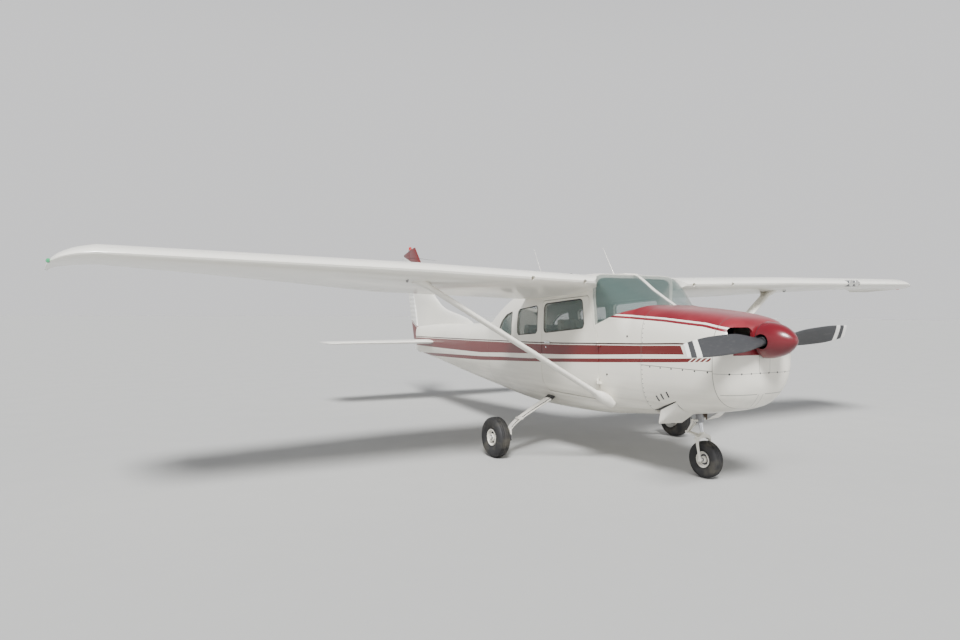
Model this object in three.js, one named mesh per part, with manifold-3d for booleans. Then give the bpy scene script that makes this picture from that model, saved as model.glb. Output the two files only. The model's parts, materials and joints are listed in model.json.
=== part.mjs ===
// A light aircraft with a high, strut-braced wing, standing on its fixed three-wheel gear.
// Millimetres, +Z up, +X to the port wing, nose towards -Y. The origin is on the ground, in the middle
// of the aircraft's length. Stations are lengths measured aft, so a station becomes y when the whole
// group is moved forward by the middle station.

import * as THREE from 'three';
import { mergeVertices } from 'three/addons/utils/BufferGeometryUtils.js';
import Module from 'manifold-3d';

const wasm = await Module();
wasm.setup();

// Driving sizes
const spinnerTip = 80;
const rudderEnd = 8760;
const middleStation = (spinnerTip + rudderEnd) / 2;
const seam = 0.3;
const runningGap = 6;
const barSides = 14;
const cornerSegments = 3;
const thrustHeight = 1339;

// Fuselage
const bowlFront = 400;
const cowlFront = 560;
const firewallStation = 1400;
const firewallThickness = 15;
const cabinEnd = 4650;
const cowlWall = 14;
const cabinWall = 40;
const tailWall = 12;
const glassThickness = 8;
const floorHeight = 600;
const floorThickness = 12;
const cowlSeam = 1062;

// Wheels: tyre radius, tyre width, rim radius, hub station
const mainWheel = { radius: 222.25, width: 152, rim: 92, station: 2824 };
const mainWheelSide = 1357;
const noseWheel = { radius: 180, width: 128, rim: 80, station: 1063 };
const tyreSides = 32;
// Heights are given from a level this far above the ground
const rideHeight = 38;
const rimSides = 18;

// Propeller
const spinnerSides = 24;
const propeller = { turn: 0.072, station: 325, spinnerRadius: 165, backplate: 378 };

const finishes = {
  white: { color: 0xe6e5e0, roughness: 0.35, metalness: 0.1 },
  red: { color: 0x7a1424, roughness: 0.25, metalness: 0.1 },
  grey: { color: 0x3a3d40, roughness: 0.5, metalness: 0.3 },
  steel: { color: 0x9a9c9e, roughness: 0.35, metalness: 0.9 },
  rubber: { color: 0x1b1b1c, roughness: 0.85, metalness: 0 },
  glass: { color: 0x7f9a90, roughness: 0.08, metalness: 0, transparent: true, opacity: 0.35 },
  trim: { color: 0x5b5a57, roughness: 0.8, metalness: 0 },
  seat: { color: 0x6d6a66, roughness: 0.9, metalness: 0 },
};

const aircraft = new THREE.Group();
aircraft.position.set(0, -middleStation, rideHeight);

// Solids from geometry, and back
function solid(geometry) {
  const bare = geometry.clone();
  for (const name of Object.keys(bare.attributes)) {
    if (name !== 'position') bare.deleteAttribute(name);
  }
  const merged = mergeVertices(bare, 1e-3);
  const vertProperties = new Float32Array(merged.attributes.position.array);
  const corners = merged.index.array;
  const faces = [];
  const flipped = [];
  for (let i = 0; i < corners.length; i += 3) {
    const [a, b, c] = [corners[i], corners[i + 1], corners[i + 2]];
    if (a === b || b === c || c === a) continue;
    faces.push(a, b, c);
    flipped.push(a, c, b);
  }
  const build = (list) => {
    const mesh = new wasm.Mesh({ numProp: 3, vertProperties, triVerts: new Uint32Array(list) });
    return new wasm.Manifold(mesh);
  };
  const shape = build(faces);
  return shape.volume() < 0 ? build(flipped) : shape;
}

function surface(shape) {
  const mesh = shape.getMesh();
  const geometry = new THREE.BufferGeometry();
  geometry.setAttribute('position', new THREE.BufferAttribute(new Float32Array(mesh.vertProperties), 3));
  geometry.setIndex(new THREE.BufferAttribute(new Uint32Array(mesh.triVerts), 1));
  geometry.computeVertexNormals();
  return geometry;
}

function place(name, shape, finish) {
  const mesh = new THREE.Mesh(surface(shape), new THREE.MeshStandardMaterial(finishes[finish]));
  mesh.name = name;
  aircraft.add(mesh);
}

// The radius of a faceted hole that leaves a seam around a turning pin
function holeRadius(pin) {
  return (pin + seam) / Math.cos(Math.PI / barSides);
}

function union(shapes) {
  return shapes.reduce((whole, shape) => whole.add(shape));
}

// A loft through rings that all have the same number of points. Each end is closed by a strip that
// joins point i to its partner counted from the ring's end.
function loft(rings) {
  const count = rings[0].length;
  const positions = rings.flat(2);
  const index = [];
  for (let r = 0; r < rings.length - 1; r += 1) {
    for (let i = 0; i < count; i += 1) {
      const a = r * count + i;
      const b = r * count + ((i + 1) % count);
      index.push(a, b, b + count, a, b + count, a + count);
    }
  }
  const close = (start, flipped) => {
    let low = 0;
    let high = count - 1;
    const face = (a, b, c) => index.push(start + a, start + (flipped ? c : b), start + (flipped ? b : c));
    while (high - low >= 2) {
      face(low, high, low + 1);
      if (low + 1 < high - 1) face(low + 1, high, high - 1);
      low += 1;
      high -= 1;
    }
  };
  close(0, false);
  close((rings.length - 1) * count, true);
  const geometry = new THREE.BufferGeometry();
  geometry.setAttribute('position', new THREE.BufferAttribute(new Float32Array(positions), 3));
  geometry.setIndex(index);
  return solid(geometry);
}

// Simple solids in stations: boxes, round bars, turned pieces, and prisms seen from the side or above
function span(side, near, far) {
  return [side * near, side * far].sort((p, q) => p - q);
}

function box(from, to) {
  const size = to.map((value, i) => value - from[i]);
  const geometry = new THREE.BoxGeometry(...size);
  geometry.translate(...to.map((value, i) => (value + from[i]) / 2));
  return solid(geometry);
}

function bar(from, to, radius, sides = barSides) {
  const start = new THREE.Vector3(...from);
  const along = new THREE.Vector3(...to).sub(start);
  const geometry = new THREE.CylinderGeometry(radius, radius, along.length(), sides);
  geometry.translate(0, along.length() / 2, 0);
  const turn = new THREE.Quaternion().setFromUnitVectors(new THREE.Vector3(0, 1, 0), along.normalize());
  geometry.applyQuaternion(turn);
  geometry.translate(...from);
  return solid(geometry);
}

// A lathe profile is a list of [radius, distance along the axis], closed on itself or on the axis.
function turned(profile, centre, axis, sides, phase = 0) {
  const points = profile.map(([radius, along]) => new THREE.Vector2(radius, along));
  const geometry = new THREE.LatheGeometry(points, sides, phase);
  const turn = new THREE.Quaternion().setFromUnitVectors(new THREE.Vector3(0, 1, 0), axis);
  geometry.applyQuaternion(turn);
  geometry.translate(...centre);
  return solid(geometry);
}

function outline(points, radius) {
  const shape = new THREE.Shape();
  const corners = points.map(([u, v]) => new THREE.Vector2(u, v));
  corners.forEach((corner, i) => {
    const before = corners[(i + corners.length - 1) % corners.length];
    const after = corners[(i + 1) % corners.length];
    const enter = corner.clone().lerp(before, Math.min(0.45, radius / corner.distanceTo(before)));
    const leave = corner.clone().lerp(after, Math.min(0.45, radius / corner.distanceTo(after)));
    if (i === 0) shape.moveTo(enter.x, enter.y);
    else shape.lineTo(enter.x, enter.y);
    if (radius > 0) shape.quadraticCurveTo(corner.x, corner.y, leave.x, leave.y);
  });
  shape.closePath();
  return shape;
}

// Points are [station, height]; the prism runs from one x to another.
function sidePrism(points, fromX, toX, radius = 0) {
  const options = { depth: toX - fromX, bevelEnabled: false, curveSegments: cornerSegments };
  const geometry = new THREE.ExtrudeGeometry(outline(points, radius), options);
  const [x, y, z] = [new THREE.Vector3(1, 0, 0), new THREE.Vector3(0, 1, 0), new THREE.Vector3(0, 0, 1)];
  geometry.applyMatrix4(new THREE.Matrix4().makeBasis(y, z, x));
  geometry.translate(fromX, 0, 0);
  return solid(geometry);
}

// Points are [x, station]; the prism runs from one height to another.
function planPrism(points, fromZ, toZ, radius = 0) {
  const options = { depth: toZ - fromZ, bevelEnabled: false, curveSegments: cornerSegments };
  const geometry = new THREE.ExtrudeGeometry(outline(points, radius), options);
  geometry.translate(0, 0, fromZ);
  return solid(geometry);
}

// The same outline with each edge moved outward by a distance
function grow(points, distance) {
  const area = points.reduce((sum, [u, v], i) => {
    const [p, q] = points[(i + 1) % points.length];
    return sum + u * q - p * v;
  }, 0);
  const way = Math.sign(area) * distance;
  const edge = (i) => {
    const [u, v] = points[i % points.length];
    const [p, q] = points[(i + 1) % points.length];
    const length = Math.hypot(p - u, q - v);
    const normal = [(q - v) / length, -(p - u) / length];
    return { normal, offset: u * normal[0] + v * normal[1] + way };
  };
  return points.map((_, i) => {
    const one = edge(i + points.length - 1);
    const two = edge(i);
    const cross = one.normal[0] * two.normal[1] - one.normal[1] * two.normal[0];
    return [
      (one.offset * two.normal[1] - two.offset * one.normal[1]) / cross,
      (two.offset * one.normal[0] - one.offset * two.normal[0]) / cross,
    ];
  });
}

// Fuselage sections
// station, half-width, top, bottom, height of the widest point, fullness above and below it, and how far
// the sides flare out towards the top
const bodyTable = [
  [400, 300, 1440, 960, 1200, 2.3, 2.3, 0],
  [430, 400, 1492, 860, 1190, 2.6, 2.5, 0],
  [480, 455, 1528, 775, 1180, 3, 2.8, 0],
  [560, 487, 1553, 705, 1170, 3.2, 2.9, 0],
  [800, 513, 1592, 640, 1160, 3.5, 3, 0],
  [1100, 530, 1622, 585, 1150, 3.7, 3, 0],
  [1400, 540, 1645, 545, 1140, 4, 3.1, 0],
  [1490, 545, 1655, 535, 1140, 4.2, 3.1, 0],
  [1600, 549, 1712, 519, 1132, 3.2, 3.1, 0],
  [1700, 551, 1767, 508, 1126, 4, 3.15, 0.02],
  [1800, 553, 1822, 497, 1120, 6, 3.2, 0.05],
  [1950, 557, 1922, 480, 1110, 10, 3.3, 0.08],
  [2050, 559, 1979, 465, 1102, 12, 3.3, 0.09],
  [2090, 560, 1990, 460, 1100, 12, 3.3, 0.08],
  [2400, 565, 2010, 435, 1100, 7, 3.3, 0],
  [3000, 562, 1995, 415, 1100, 5, 3.3, 0],
  [3500, 535, 1950, 410, 1100, 4.2, 3.2, 0],
  [3860, 497, 1882, 418, 1095, 3.8, 3, 0],
  [4225, 455, 1775, 440, 1090, 3.4, 2.8, 0],
  [4590, 415, 1600, 470, 1080, 3, 2.6, 0],
  [4720, 401, 1500, 483, 1077, 2.9, 2.5, 0],
  [4800, 393, 1450, 490, 1075, 2.9, 2.5, 0],
  [5500, 325, 1385, 555, 1070, 2.6, 2.4, 0],
  [6300, 245, 1365, 640, 1062, 2.4, 2.3, 0],
  [7100, 165, 1340, 730, 1050, 2.3, 2.2, 0],
  [7800, 92, 1290, 800, 1045, 2.2, 2.2, 0],
  [8080, 58, 1265, 835, 1045, 2.1, 2.1, 0],
];
const bodySides = 28;

function bodyShape(station) {
  let i = 0;
  while (i < bodyTable.length - 2 && bodyTable[i + 1][0] < station) i += 1;
  const [fore, aft] = [bodyTable[i], bodyTable[i + 1]];
  const t = (station - fore[0]) / (aft[0] - fore[0]);
  return fore.map((value, column) => value + (aft[column] - value) * t);
}

function bodyRing(station, inset) {
  const [, halfWidth, top, bottom, widest, fullAbove, fullBelow, flare] = bodyShape(station);
  return Array.from({ length: bodySides }, (_, i) => {
    const angle = ((i + 0.5) / bodySides) * 2 * Math.PI;
    const [across, up] = [Math.sin(angle), Math.cos(angle)];
    const power = 2 / (up > 0 ? fullAbove : fullBelow);
    const height = up > 0 ? top - inset - widest : widest - bottom - inset;
    const rise = Math.abs(up) ** power;
    const flared = up > 0 ? 1 + flare * rise ** 2 : 1;
    const x = Math.sign(across) * (halfWidth - inset) * Math.abs(across) ** power * flared;
    return [x, station, widest + Math.sign(up) * height * rise];
  });
}

function body(from, to, inset = 0) {
  const between = bodyTable.map((row) => row[0]).filter((station) => station > from + 1 && station < to - 1);
  return loft([from, ...between, to].map((station) => bodyRing(station, inset)));
}

const wholeBody = body(bowlFront, 8080, -seam);

// A skin of the body between two insets
function skin(from, to, outer, inner) {
  return body(from, to, outer).subtract(body(from - 10, to + 10, inner));
}

function halfSpace(side) {
  return side > 0 ? box([0, 0, -100], [6000, 9000, 4000]) : box([-6000, 0, -100], [0, 9000, 4000]);
}

function moved(shape, matrix) {
  return solid(surface(shape).applyMatrix4(matrix));
}

const sides = { left: 1, right: -1 };

// Engine bay: nose bowl with two air inlets, cowling in two halves, cowl flaps, engine and exhaust
const inletEdge = [[165, 1285], [165, 1452], [395, 1450], [418, 1300]];
const flapOpening = { front: 1030, rear: 1385, inner: 165, outer: 520, top: 742, slope: 0.37 };
// An open cowl flap from its inner edge outwards and up its side, as [x, station, height]: the front line
// follows the cowl's skin and the rear line is level
const flapFront = [
  [190, 1036, 607], [250, 1036, 616], [310, 1036, 634], [365, 1036, 659], [405, 1036, 690], [428, 1036, 729],
];
const flapRear = [
  [172, 1214, 489], [250, 1236, 489], [340, 1258, 489], [408, 1272, 489], [421, 1272, 503], [423, 1246, 622],
];
const flapWall = 5;
const flapHinge = { from: 195, to: 240, height: 612 };

function inletPrism(side) {
  const points = inletEdge.map(([x, z]) => [side * x, z]);
  const geometry = new THREE.ExtrudeGeometry(outline(points, 45), { depth: 200, bevelEnabled: false });
  geometry.rotateX(Math.PI / 2);
  geometry.translate(0, 550, 0);
  return solid(geometry);
}

function noseBowl() {
  const shell = body(bowlFront, cowlFront - seam).subtract(body(425, 600, cowlWall));
  const shaftHole = bar([0, 380, thrustHeight], [0, 470, thrustHeight], 75);
  return shell.subtract(union([inletPrism(1), inletPrism(-1), shaftHole]));
}

function cowlFlap(side) {
  const ring = (points) => {
    const inside = points.map(([x, station, height]) => [x - flapWall * 0.6, station, height + flapWall]);
    return [...points, ...inside.reverse()].map(([x, station, height]) => [side * x, station, height]);
  };
  const { from, to, height } = flapHinge;
  const rod = [from, to].map((x) => [side * x, flapOpening.front + runningGap + seam, height]);
  return loft([ring(flapFront), ring(flapRear)]).add(bar(...rod, runningGap));
}

function cowling() {
  const whole = skin(cowlFront, firewallStation - seam, 0, cowlWall);
  const { front, rear, inner, outer, top, slope } = flapOpening;
  const exitEdge = [[front, 400], [front, top], [rear, top - slope * (rear - front)], [rear, 400]];
  const exits = [1, -1].map((side) => sidePrism(exitEdge, ...span(side, inner, outer)));
  const strutHole = box([-75, 1080, 400], [75, 1260, 800]);
  const upper = whole.intersect(box([-700, 500, cowlSeam + seam], [700, 1500, 1800]));
  const lower = whole.intersect(box([-700, 500, 300], [700, 1500, cowlSeam]));
  return { upper, lower: lower.subtract(union([...exits, strutHole])) };
}

const engineBottom = 980;
const engine = box([-380, 540, engineBottom], [380, firewallStation - seam, 1430]);
const exhaust = bar([280, 1340, engineBottom - seam], [280, 1340, 470], 28);

const cowlHalves = cowling();
place('nose_bowl', noseBowl(), 'white');
place('cowling_upper', cowlHalves.upper, 'red');
place('cowling_lower', cowlHalves.lower, 'white');
for (const [name, side] of Object.entries(sides)) place(`cowl_flap_${name}`, cowlFlap(side), 'white');
place('engine', engine, 'grey');
place('exhaust', exhaust, 'steel');
place('firewall', body(firewallStation, firewallStation + firewallThickness - seam), 'steel');

// Windows, doors and panel edges seen from the side, as [station, height]
const doorEdge = [
  [2030, 640], [2030, 1300], [2122, 1440], [2190, 1752], [3100, 1700], [3100, 760], [3010, 640],
];
const doorWindow = [[2272, 1400], [2308, 1722], [3062, 1668], [3060, 1323]];
const rearWindows = {
  window_second: [[3210, 1313], [3210, 1650], [3735, 1597], [3735, 1273]],
  window_third: [[3912, 1262], [3912, 1574], [4110, 1528], [4240, 1440], [4305, 1335], [4200, 1268]],
};
const windowCorner = 55;
const windshieldEdge = [
  [1380, 1668], [1500, 1650], [1600, 1612], [1750, 1562], [1860, 1520], [2085, 1437], [2112, 1762],
  [2095, 2120], [1380, 2120],
];
const deckEdge = [[1380, 1540], [1380, 1900], [1900, 1900], [1900, 1490]];
const roofEdge = [[2095, 2120], [2112, 1762], [3110, 1712], [3620, 1676], [4700, 1424], [4700, 2120]];
const rearWindowEdge = [[-330, 3960], [330, 3960], [270, 4500], [-270, 4500]];
const stripHalfWidth = 22;
const cabinFront = firewallStation + firewallThickness;
const cabinRear = cabinEnd - seam;

const windowPrism = (points, side, growth = 0) => {
  const [from, to] = span(side, 300, 700);
  return sidePrism(grow(points, growth), from, to, windowCorner);
};
const doorPrism = (side, growth = 0) => {
  const [from, to] = span(side, 250, 700);
  return sidePrism(grow(doorEdge, growth), from, to, 40);
};
const windshieldPrism = (growth) => sidePrism(grow(windshieldEdge, growth), -700, 700);
const cabinWalls = skin(cabinFront, cabinRear, 0, cabinWall);
const cabinRoom = (gap) => body(cabinFront - 10, cabinRear + 10, cabinWall + gap);
const rearWindowPrism = (growth) => planPrism(grow(rearWindowEdge, growth), 1300, 2100, 60);

function cabinRoof() {
  const region = sidePrism(grow(roofEdge, -seam), -700, 700);
  const roof = cabinWalls.intersect(region).subtract(rearWindowPrism(seam));
  const top = box([-stripHalfWidth, 2070, 1880], [stripHalfWidth, 2150, 2120]);
  const run = windshieldPrism(0).intersect(box([-stripHalfWidth, 1300, 1400], [stripHalfWidth, 2200, 2200]));
  const strip = skin(cabinFront, 2200, 0, 16).intersect(run.add(top));
  return roof.add(strip);
}

function cowlDeck() {
  return cabinWalls.intersect(sidePrism(deckEdge, -700, 700)).subtract(windshieldPrism(seam));
}

function belly() {
  const pan = cabinWalls.intersect(box([-700, 1300, 300], [700, 4700, floorHeight]));
  const plate = box([-700, 1430, floorHeight - floorThickness], [700, 4480, floorHeight]);
  const floor = cabinRoom(-5).intersect(plate);
  return pan.add(floor);
}

function cabinSide(side) {
  const cuts = [
    windshieldPrism(seam),
    sidePrism(grow(roofEdge, 0), -700, 700),
    sidePrism(grow(deckEdge, seam), -700, 700),
    box([-700, 1300, 300], [700, 4700, floorHeight + seam]),
    doorPrism(side, runningGap),
    ...Object.values(rearWindows).map((points) => windowPrism(points, side, seam)),
  ];
  return union([cabinWalls.intersect(halfSpace(side)).subtract(union(cuts)), ...doorHinge(side, false)]);
}

// Each door turns on two hinges outside its front edge. The cabin's half of a hinge lies below the door's.
const doorAxis = { x: 574, station: 2027, knuckle: 7, half: 26 };
const doorHinges = [840, 1232];

function doorHinge(side, isDoor) {
  const { x, station, knuckle, half } = doorAxis;
  const [from, to] = span(side, x - 48, x);
  const near = station + runningGap / 2;
  return doorHinges.flatMap((height) => {
    const [low, high] = isDoor ? [height + seam, height + half] : [height - half, height];
    const [fore, aft] = isDoor ? [near, near + 18] : [near - runningGap - 18, near - runningGap];
    const joined = bar([side * x, station, low], [side * x, station, high], knuckle);
    return [box([from, fore, low], [to, aft, high]), joined];
  });
}

function door(side) {
  const panel = cabinWalls.intersect(doorPrism(side)).subtract(windowPrism(doorWindow, side, seam));
  return union([panel, ...doorHinge(side, true)]);
}

const pane = skin(1420, 4640, 14, 14 + glassThickness);
const windshieldPane = skin(1420, 2300, 3, 3 + glassThickness);

function windshield(side) {
  const [from, to] = span(side, stripHalfWidth + seam, 700);
  return windshieldPane.intersect(windshieldPrism(0)).intersect(box([from, 1300, 1300], [to, 2300, 2200]));
}

place('cowl_deck', cowlDeck(), 'red');
place('cabin_roof', cabinRoof(), 'white');
place('belly', belly(), 'white');
for (const [name, side] of Object.entries(sides)) {
  place(`cabin_side_${name}`, cabinSide(side), 'white');
  place(`door_${name}`, door(side), 'white');
  place(`door_glass_${name}`, pane.intersect(windowPrism(doorWindow, side)), 'glass');
  place(`windshield_${name}`, windshield(side), 'glass');
  for (const [window, points] of Object.entries(rearWindows)) {
    place(`${window}_${name}`, pane.intersect(windowPrism(points, side)), 'glass');
  }
}
place('rear_window', skin(3900, 4600, 6, 6 + glassThickness).intersect(rearWindowPrism(0)), 'glass');
place('rear_bulkhead', cabinRoom(seam).intersect(box([-700, 4500, 300], [700, 4515, 2100])), 'trim');

// Cabin inside: panel with its glare shield and two control wheels, and four seats on the floor
function instrumentPanel() {
  const inside = cabinRoom(seam);
  const board = inside.intersect(box([-600, 1760, 1120], [600, 1800, 1500]));
  const shield = inside.intersect(box([-600, 1560, 1470], [600, 1800, 1500]));
  const yokes = [240, -240].flatMap((x) => [
    bar([x, 1795, 1310], [x, 1960, 1320], 12),
    box([x - 120, 1945, 1305], [x + 120, 1970, 1335]),
    box([x - 135, 1945, 1305], [x - 110, 1970, 1420]),
    box([x + 110, 1945, 1305], [x + 135, 1970, 1420]),
  ]);
  return union([board, shield, ...yokes]);
}

// name: front station, seat height, rear station of the seat, height and lean of the back, x range
const seatTable = {
  seat_front_left: [2300, 900, 2800, 1480, 120, 50, 470],
  seat_front_right: [2300, 900, 2800, 1480, 120, -470, -50],
  bench_middle: [3180, 880, 3600, 1400, 100, -440, 440],
  bench_rear: [3900, 850, 4190, 1230, 80, -350, 350],
};

function seat([front, height, rear, backTop, lean, fromX, toX]) {
  const backDepth = 100;
  const base = floorHeight + seam;
  const points = [
    [front, base], [front, height], [rear - 60, height - 20], [rear - 60 + lean, backTop],
    [rear - 60 + lean + backDepth, backTop], [rear + backDepth - 60, height - 40],
    [rear + backDepth - 60, base],
  ];
  return sidePrism(points, fromX, toX).intersect(cabinRoom(8));
}

place('instrument_panel', instrumentPanel(), 'trim');
for (const [name, row] of Object.entries(seatTable)) place(name, seat(row), 'seat');

// Foil sections. A ring runs along the upper side from the rear to the front, then back along the lower
// side. Fractions are of the chord, from 0 at the front to 1 at the rear.
const foilPoints = 9;
const trailingHalf = 1.5;

function foilHeights(fraction, thickness, camber) {
  const f = Math.max(fraction, 0);
  const half = 5 * thickness
    * (0.2969 * Math.sqrt(f) - 0.126 * f - 0.3516 * f ** 2 + 0.2843 * f ** 3 - 0.1036 * f ** 4);
  const crest = 0.4;
  const bow = f < crest
    ? (camber / crest ** 2) * (2 * crest * f - f ** 2)
    : (camber / (1 - crest) ** 2) * (1 - 2 * crest + 2 * crest * f - f ** 2);
  return [bow + half, bow - half];
}

// at(along, height) gives the point for a length along the chord and a height from it, in millimetres
function foilRing(at, chord, thickness, camber, { front = 0, rear = 1, inset = 0 } = {}) {
  const fractions = Array.from({ length: foilPoints + 1 }, (_, i) => {
    const t = (1 + Math.cos((Math.PI * i) / foilPoints)) / 2;
    return front + (rear - front) * t;
  });
  const edge = fractions.map((f) => {
    const [upper, lower] = foilHeights(f, thickness, camber);
    const blunt = trailingHalf * f;
    return [f * chord, upper * chord + blunt - inset, lower * chord - blunt + inset];
  });
  const upper = edge.map(([along, high]) => at(along, high));
  const lower = edge.map(([along, , low]) => at(along, low)).reverse();
  return front === 0 ? [...upper, ...lower.slice(1)] : [...upper, ...lower];
}

// A control surface's ring: a round nose about its hinge, and the foil behind it
function controlRing(at, chord, thickness, camber, hinge) {
  const behind = foilRing(at, chord, thickness, camber, { front: hinge, rear: 1 });
  const { centre, radius } = hingePoint(chord, thickness, camber, hinge);
  const steps = 6;
  const nose = Array.from({ length: steps - 1 }, (_, i) => {
    const angle = Math.PI / 2 + (Math.PI * (i + 1)) / steps;
    return at(centre[0] + radius * Math.cos(angle), centre[1] + radius * Math.sin(angle));
  });
  const half = behind.length / 2;
  return [...behind.slice(0, half), ...nose, ...behind.slice(half)];
}

function hingePoint(chord, thickness, camber, hinge) {
  const [upper, lower] = foilHeights(hinge, thickness, camber);
  const blunt = trailingHalf * hinge;
  return {
    centre: [hinge * chord, ((upper + lower) / 2) * chord],
    radius: ((upper - lower) / 2) * chord + blunt,
  };
}

// The round groove ahead of a hinge, with everything behind it
function hingeCut(sections, clearance) {
  const ringAt = ({ at, chord, thickness, camber, hinge }) => {
    const { centre, radius } = hingePoint(chord, thickness, camber, hinge);
    const room = radius + clearance;
    const corners = [[chord + 80, room + 60], [centre[0] - 8, room + 60]];
    const arc = Array.from({ length: 9 }, (_, i) => {
      const angle = Math.PI / 2 + (Math.PI * (i + 0.5)) / 9;
      return [centre[0] + room * Math.cos(angle), centre[1] + room * Math.sin(angle)];
    });
    const points = [...corners, ...arc, [centre[0] - 8, -room - 60], [chord + 80, -room - 60]];
    return points.map(([along, height]) => at(along, height));
  };
  return loft(sections.map(ringAt));
}

// Wing. x, front station, height of the front edge, chord, nose-up angle in degrees, thickness ratio
const wingTable = [
  [400, 1973, 1891, 1626, 5.7, 0.12],
  [2540, 1975, 1957, 1626, 5.7, 0.12],
  [5200, 2018, 2004, 1165, 1.3, 0.115],
  [5330, 2052, 1990, 1120, 0.9, 0.098],
  [5430, 2125, 1968, 1035, 0.5, 0.078],
  [5500, 2300, 1946, 850, -0.2, 0.056],
  [5550, 2600, 1924, 545, -0.7, 0.04],
  [5575, 2880, 1906, 260, -1, 0.03],
];
const wingCamber = 0.02;
const wingHinge = 0.76;
// Each moving surface's two ends, and how far its pins reach past them
const flapSpan = [690, 2525];
const aileronSpan = [2545, 5190];
const flapPins = [26, 9];
const aileronPins = [9, 26];
const wingPin = 7;
const wingSkin = 12;

function wingRow(x) {
  let i = 0;
  while (i < wingTable.length - 2 && wingTable[i + 1][0] < x) i += 1;
  const [inner, outer] = [wingTable[i], wingTable[i + 1]];
  const t = (x - inner[0]) / (outer[0] - inner[0]);
  return inner.map((value, column) => value + (outer[column] - value) * t);
}

function wingSection(x, side) {
  const [, front, height, chord, degrees, thickness] = wingRow(x);
  const angle = THREE.MathUtils.degToRad(degrees);
  const at = (along, up) => [
    side * x,
    front + along * Math.cos(angle) + up * Math.sin(angle),
    height - along * Math.sin(angle) + up * Math.cos(angle),
  ];
  return { at, chord, thickness, camber: wingCamber, hinge: wingHinge };
}

function wingLoft(side, stations, options) {
  return loft(stations.map((x) => {
    const { at, chord, thickness, camber } = wingSection(x, side);
    return foilRing(at, chord, thickness, camber, options);
  }));
}

const wingStations = wingTable.map((row) => row[0]);

function wing(side) {
  const outer = wingLoft(side, wingStations);
  const hollow = wingLoft(side, [350, 2540, 5150], { front: 0.04, rear: 0.7, inset: wingSkin });
  const cuts = [flapSpan, aileronSpan].map(([from, to]) => {
    const ends = [from - runningGap, to + runningGap].map((x) => wingSection(x, side));
    return hingeCut(ends, runningGap);
  });
  const holes = [[flapSpan, flapPins], [aileronSpan, aileronPins]].map(([ends, reach]) => {
    return pin(side, ends, reach.map((length) => length + seam), holeRadius(wingPin));
  });
  const [from, to] = span(side, 2665, 2695);
  const lug = box([from, 2190, 1845], [to, 2230, 1900]);
  return outer.subtract(hollow).subtract(union([...cuts, ...holes, wholeBody])).add(lug);
}

// A rod along a surface's hinge line, past both of its ends
function pin(side, ends, reach, radius) {
  const [start, end] = ends.map((x) => {
    const { at, chord, thickness, camber, hinge } = wingSection(x, side);
    return new THREE.Vector3(...at(...hingePoint(chord, thickness, camber, hinge).centre));
  });
  const along = end.clone().sub(start).normalize();
  const from = start.addScaledVector(along, -reach[0]);
  const to = end.addScaledVector(along, reach[1]);
  return bar(from.toArray(), to.toArray(), radius);
}

function wingControl(side, ends, reach) {
  const surfaceShape = loft(ends.map((x) => {
    const { at, chord, thickness, camber, hinge } = wingSection(x, side);
    return controlRing(at, chord, thickness, camber, hinge);
  }));
  return surfaceShape.add(pin(side, ends, reach, wingPin));
}

// Struts: fraction of the length, chord, thickness; the wider ends are the fairings
const strutFoot = [460, 1922, 609];
const strutHead = [2561, 2311, 1892];
const strutTable = [
  [0, 150, 80], [0.045, 150, 80], [0.066, 190, 72], [0.095, 140, 52], [0.945, 140, 52], [0.97, 190, 72],
  [1, 230, 95],
];

function strut(side) {
  const foot = new THREE.Vector3(side * strutFoot[0], strutFoot[1], strutFoot[2]);
  const head = new THREE.Vector3(side * strutHead[0], strutHead[1], strutHead[2]);
  const along = head.clone().sub(foot).normalize();
  const back = new THREE.Vector3(0, 1, 0).addScaledVector(along, -along.y).normalize();
  const up = back.clone().cross(along).multiplyScalar(side);
  const rings = strutTable.map(([t, chord, thickness]) => {
    const centre = foot.clone().lerp(head, t).addScaledVector(back, -0.4 * chord);
    const at = (a, h) => centre.clone().addScaledVector(back, a).addScaledVector(up, h).toArray();
    return foilRing(at, chord, thickness / chord, 0);
  });
  const gapWing = wingLoft(side, wingStations, { inset: -seam });
  return loft(rings).subtract(wholeBody.add(gapWing));
}

for (const [name, side] of Object.entries(sides)) {
  place(`wing_${name}`, wing(side), 'white');
  place(`flap_${name}`, wingControl(side, flapSpan, flapPins), 'white');
  place(`aileron_${name}`, wingControl(side, aileronSpan, aileronPins), 'white');
  place(`strut_${name}`, strut(side), 'white');
}

// Tail. The rudder's hinge and rear edge are straight lines given as stations at a height.
const hingeSlope = 0.2784;
const hingeStation = (z) => 7930 + (z - 800) * hingeSlope;
const rudderRear = (z) => 8250 + (z - 1060) * 0.3188;
// height, front station, thickness ratio
const finTable = [
  [1150, 5350, 0.02],
  [1450, 6060, 0.025],
  [1625, 6926, 0.04],
  [1752, 7174, 0.06],
  [1820, 7290, 0.07],
  [2300, 7770, 0.075],
  [2800, 8240, 0.075],
];
const finTop = [[8150, 2781], [8770, 2658]];
const rudderTable = [[795, 26], [1300, 28], [2000, 24], [2800, 15]];
const rudderCove = 35;
const stabHeight = 1030;
// x, front station, chord, thickness ratio
const stabTable = [
  [0, 6985, 885, 0.085],
  [1880, 7140, 626.7, 0.08],
  [1950, 7175, 605, 0.06],
  [1980, 7260, 480, 0.03],
];
const stabHinge = 0.6;
const tailSkin = 8;
const elevatorStart = 135;
const elevatorEnd = 1870;
const elevatorTube = 20;
const slotRear = 16;

const hingeLine = hingePoint(stabTable[0][2], stabTable[0][3], 0, stabHinge);
const elevatorHinge = stabTable[0][1] + hingeLine.centre[0];

function finSection([height, front, thickness], options) {
  const chord = rudderRear(height) - front;
  const at = (along, across) => [across, front + along, height];
  return foilRing(at, chord, thickness, 0, options);
}

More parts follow.
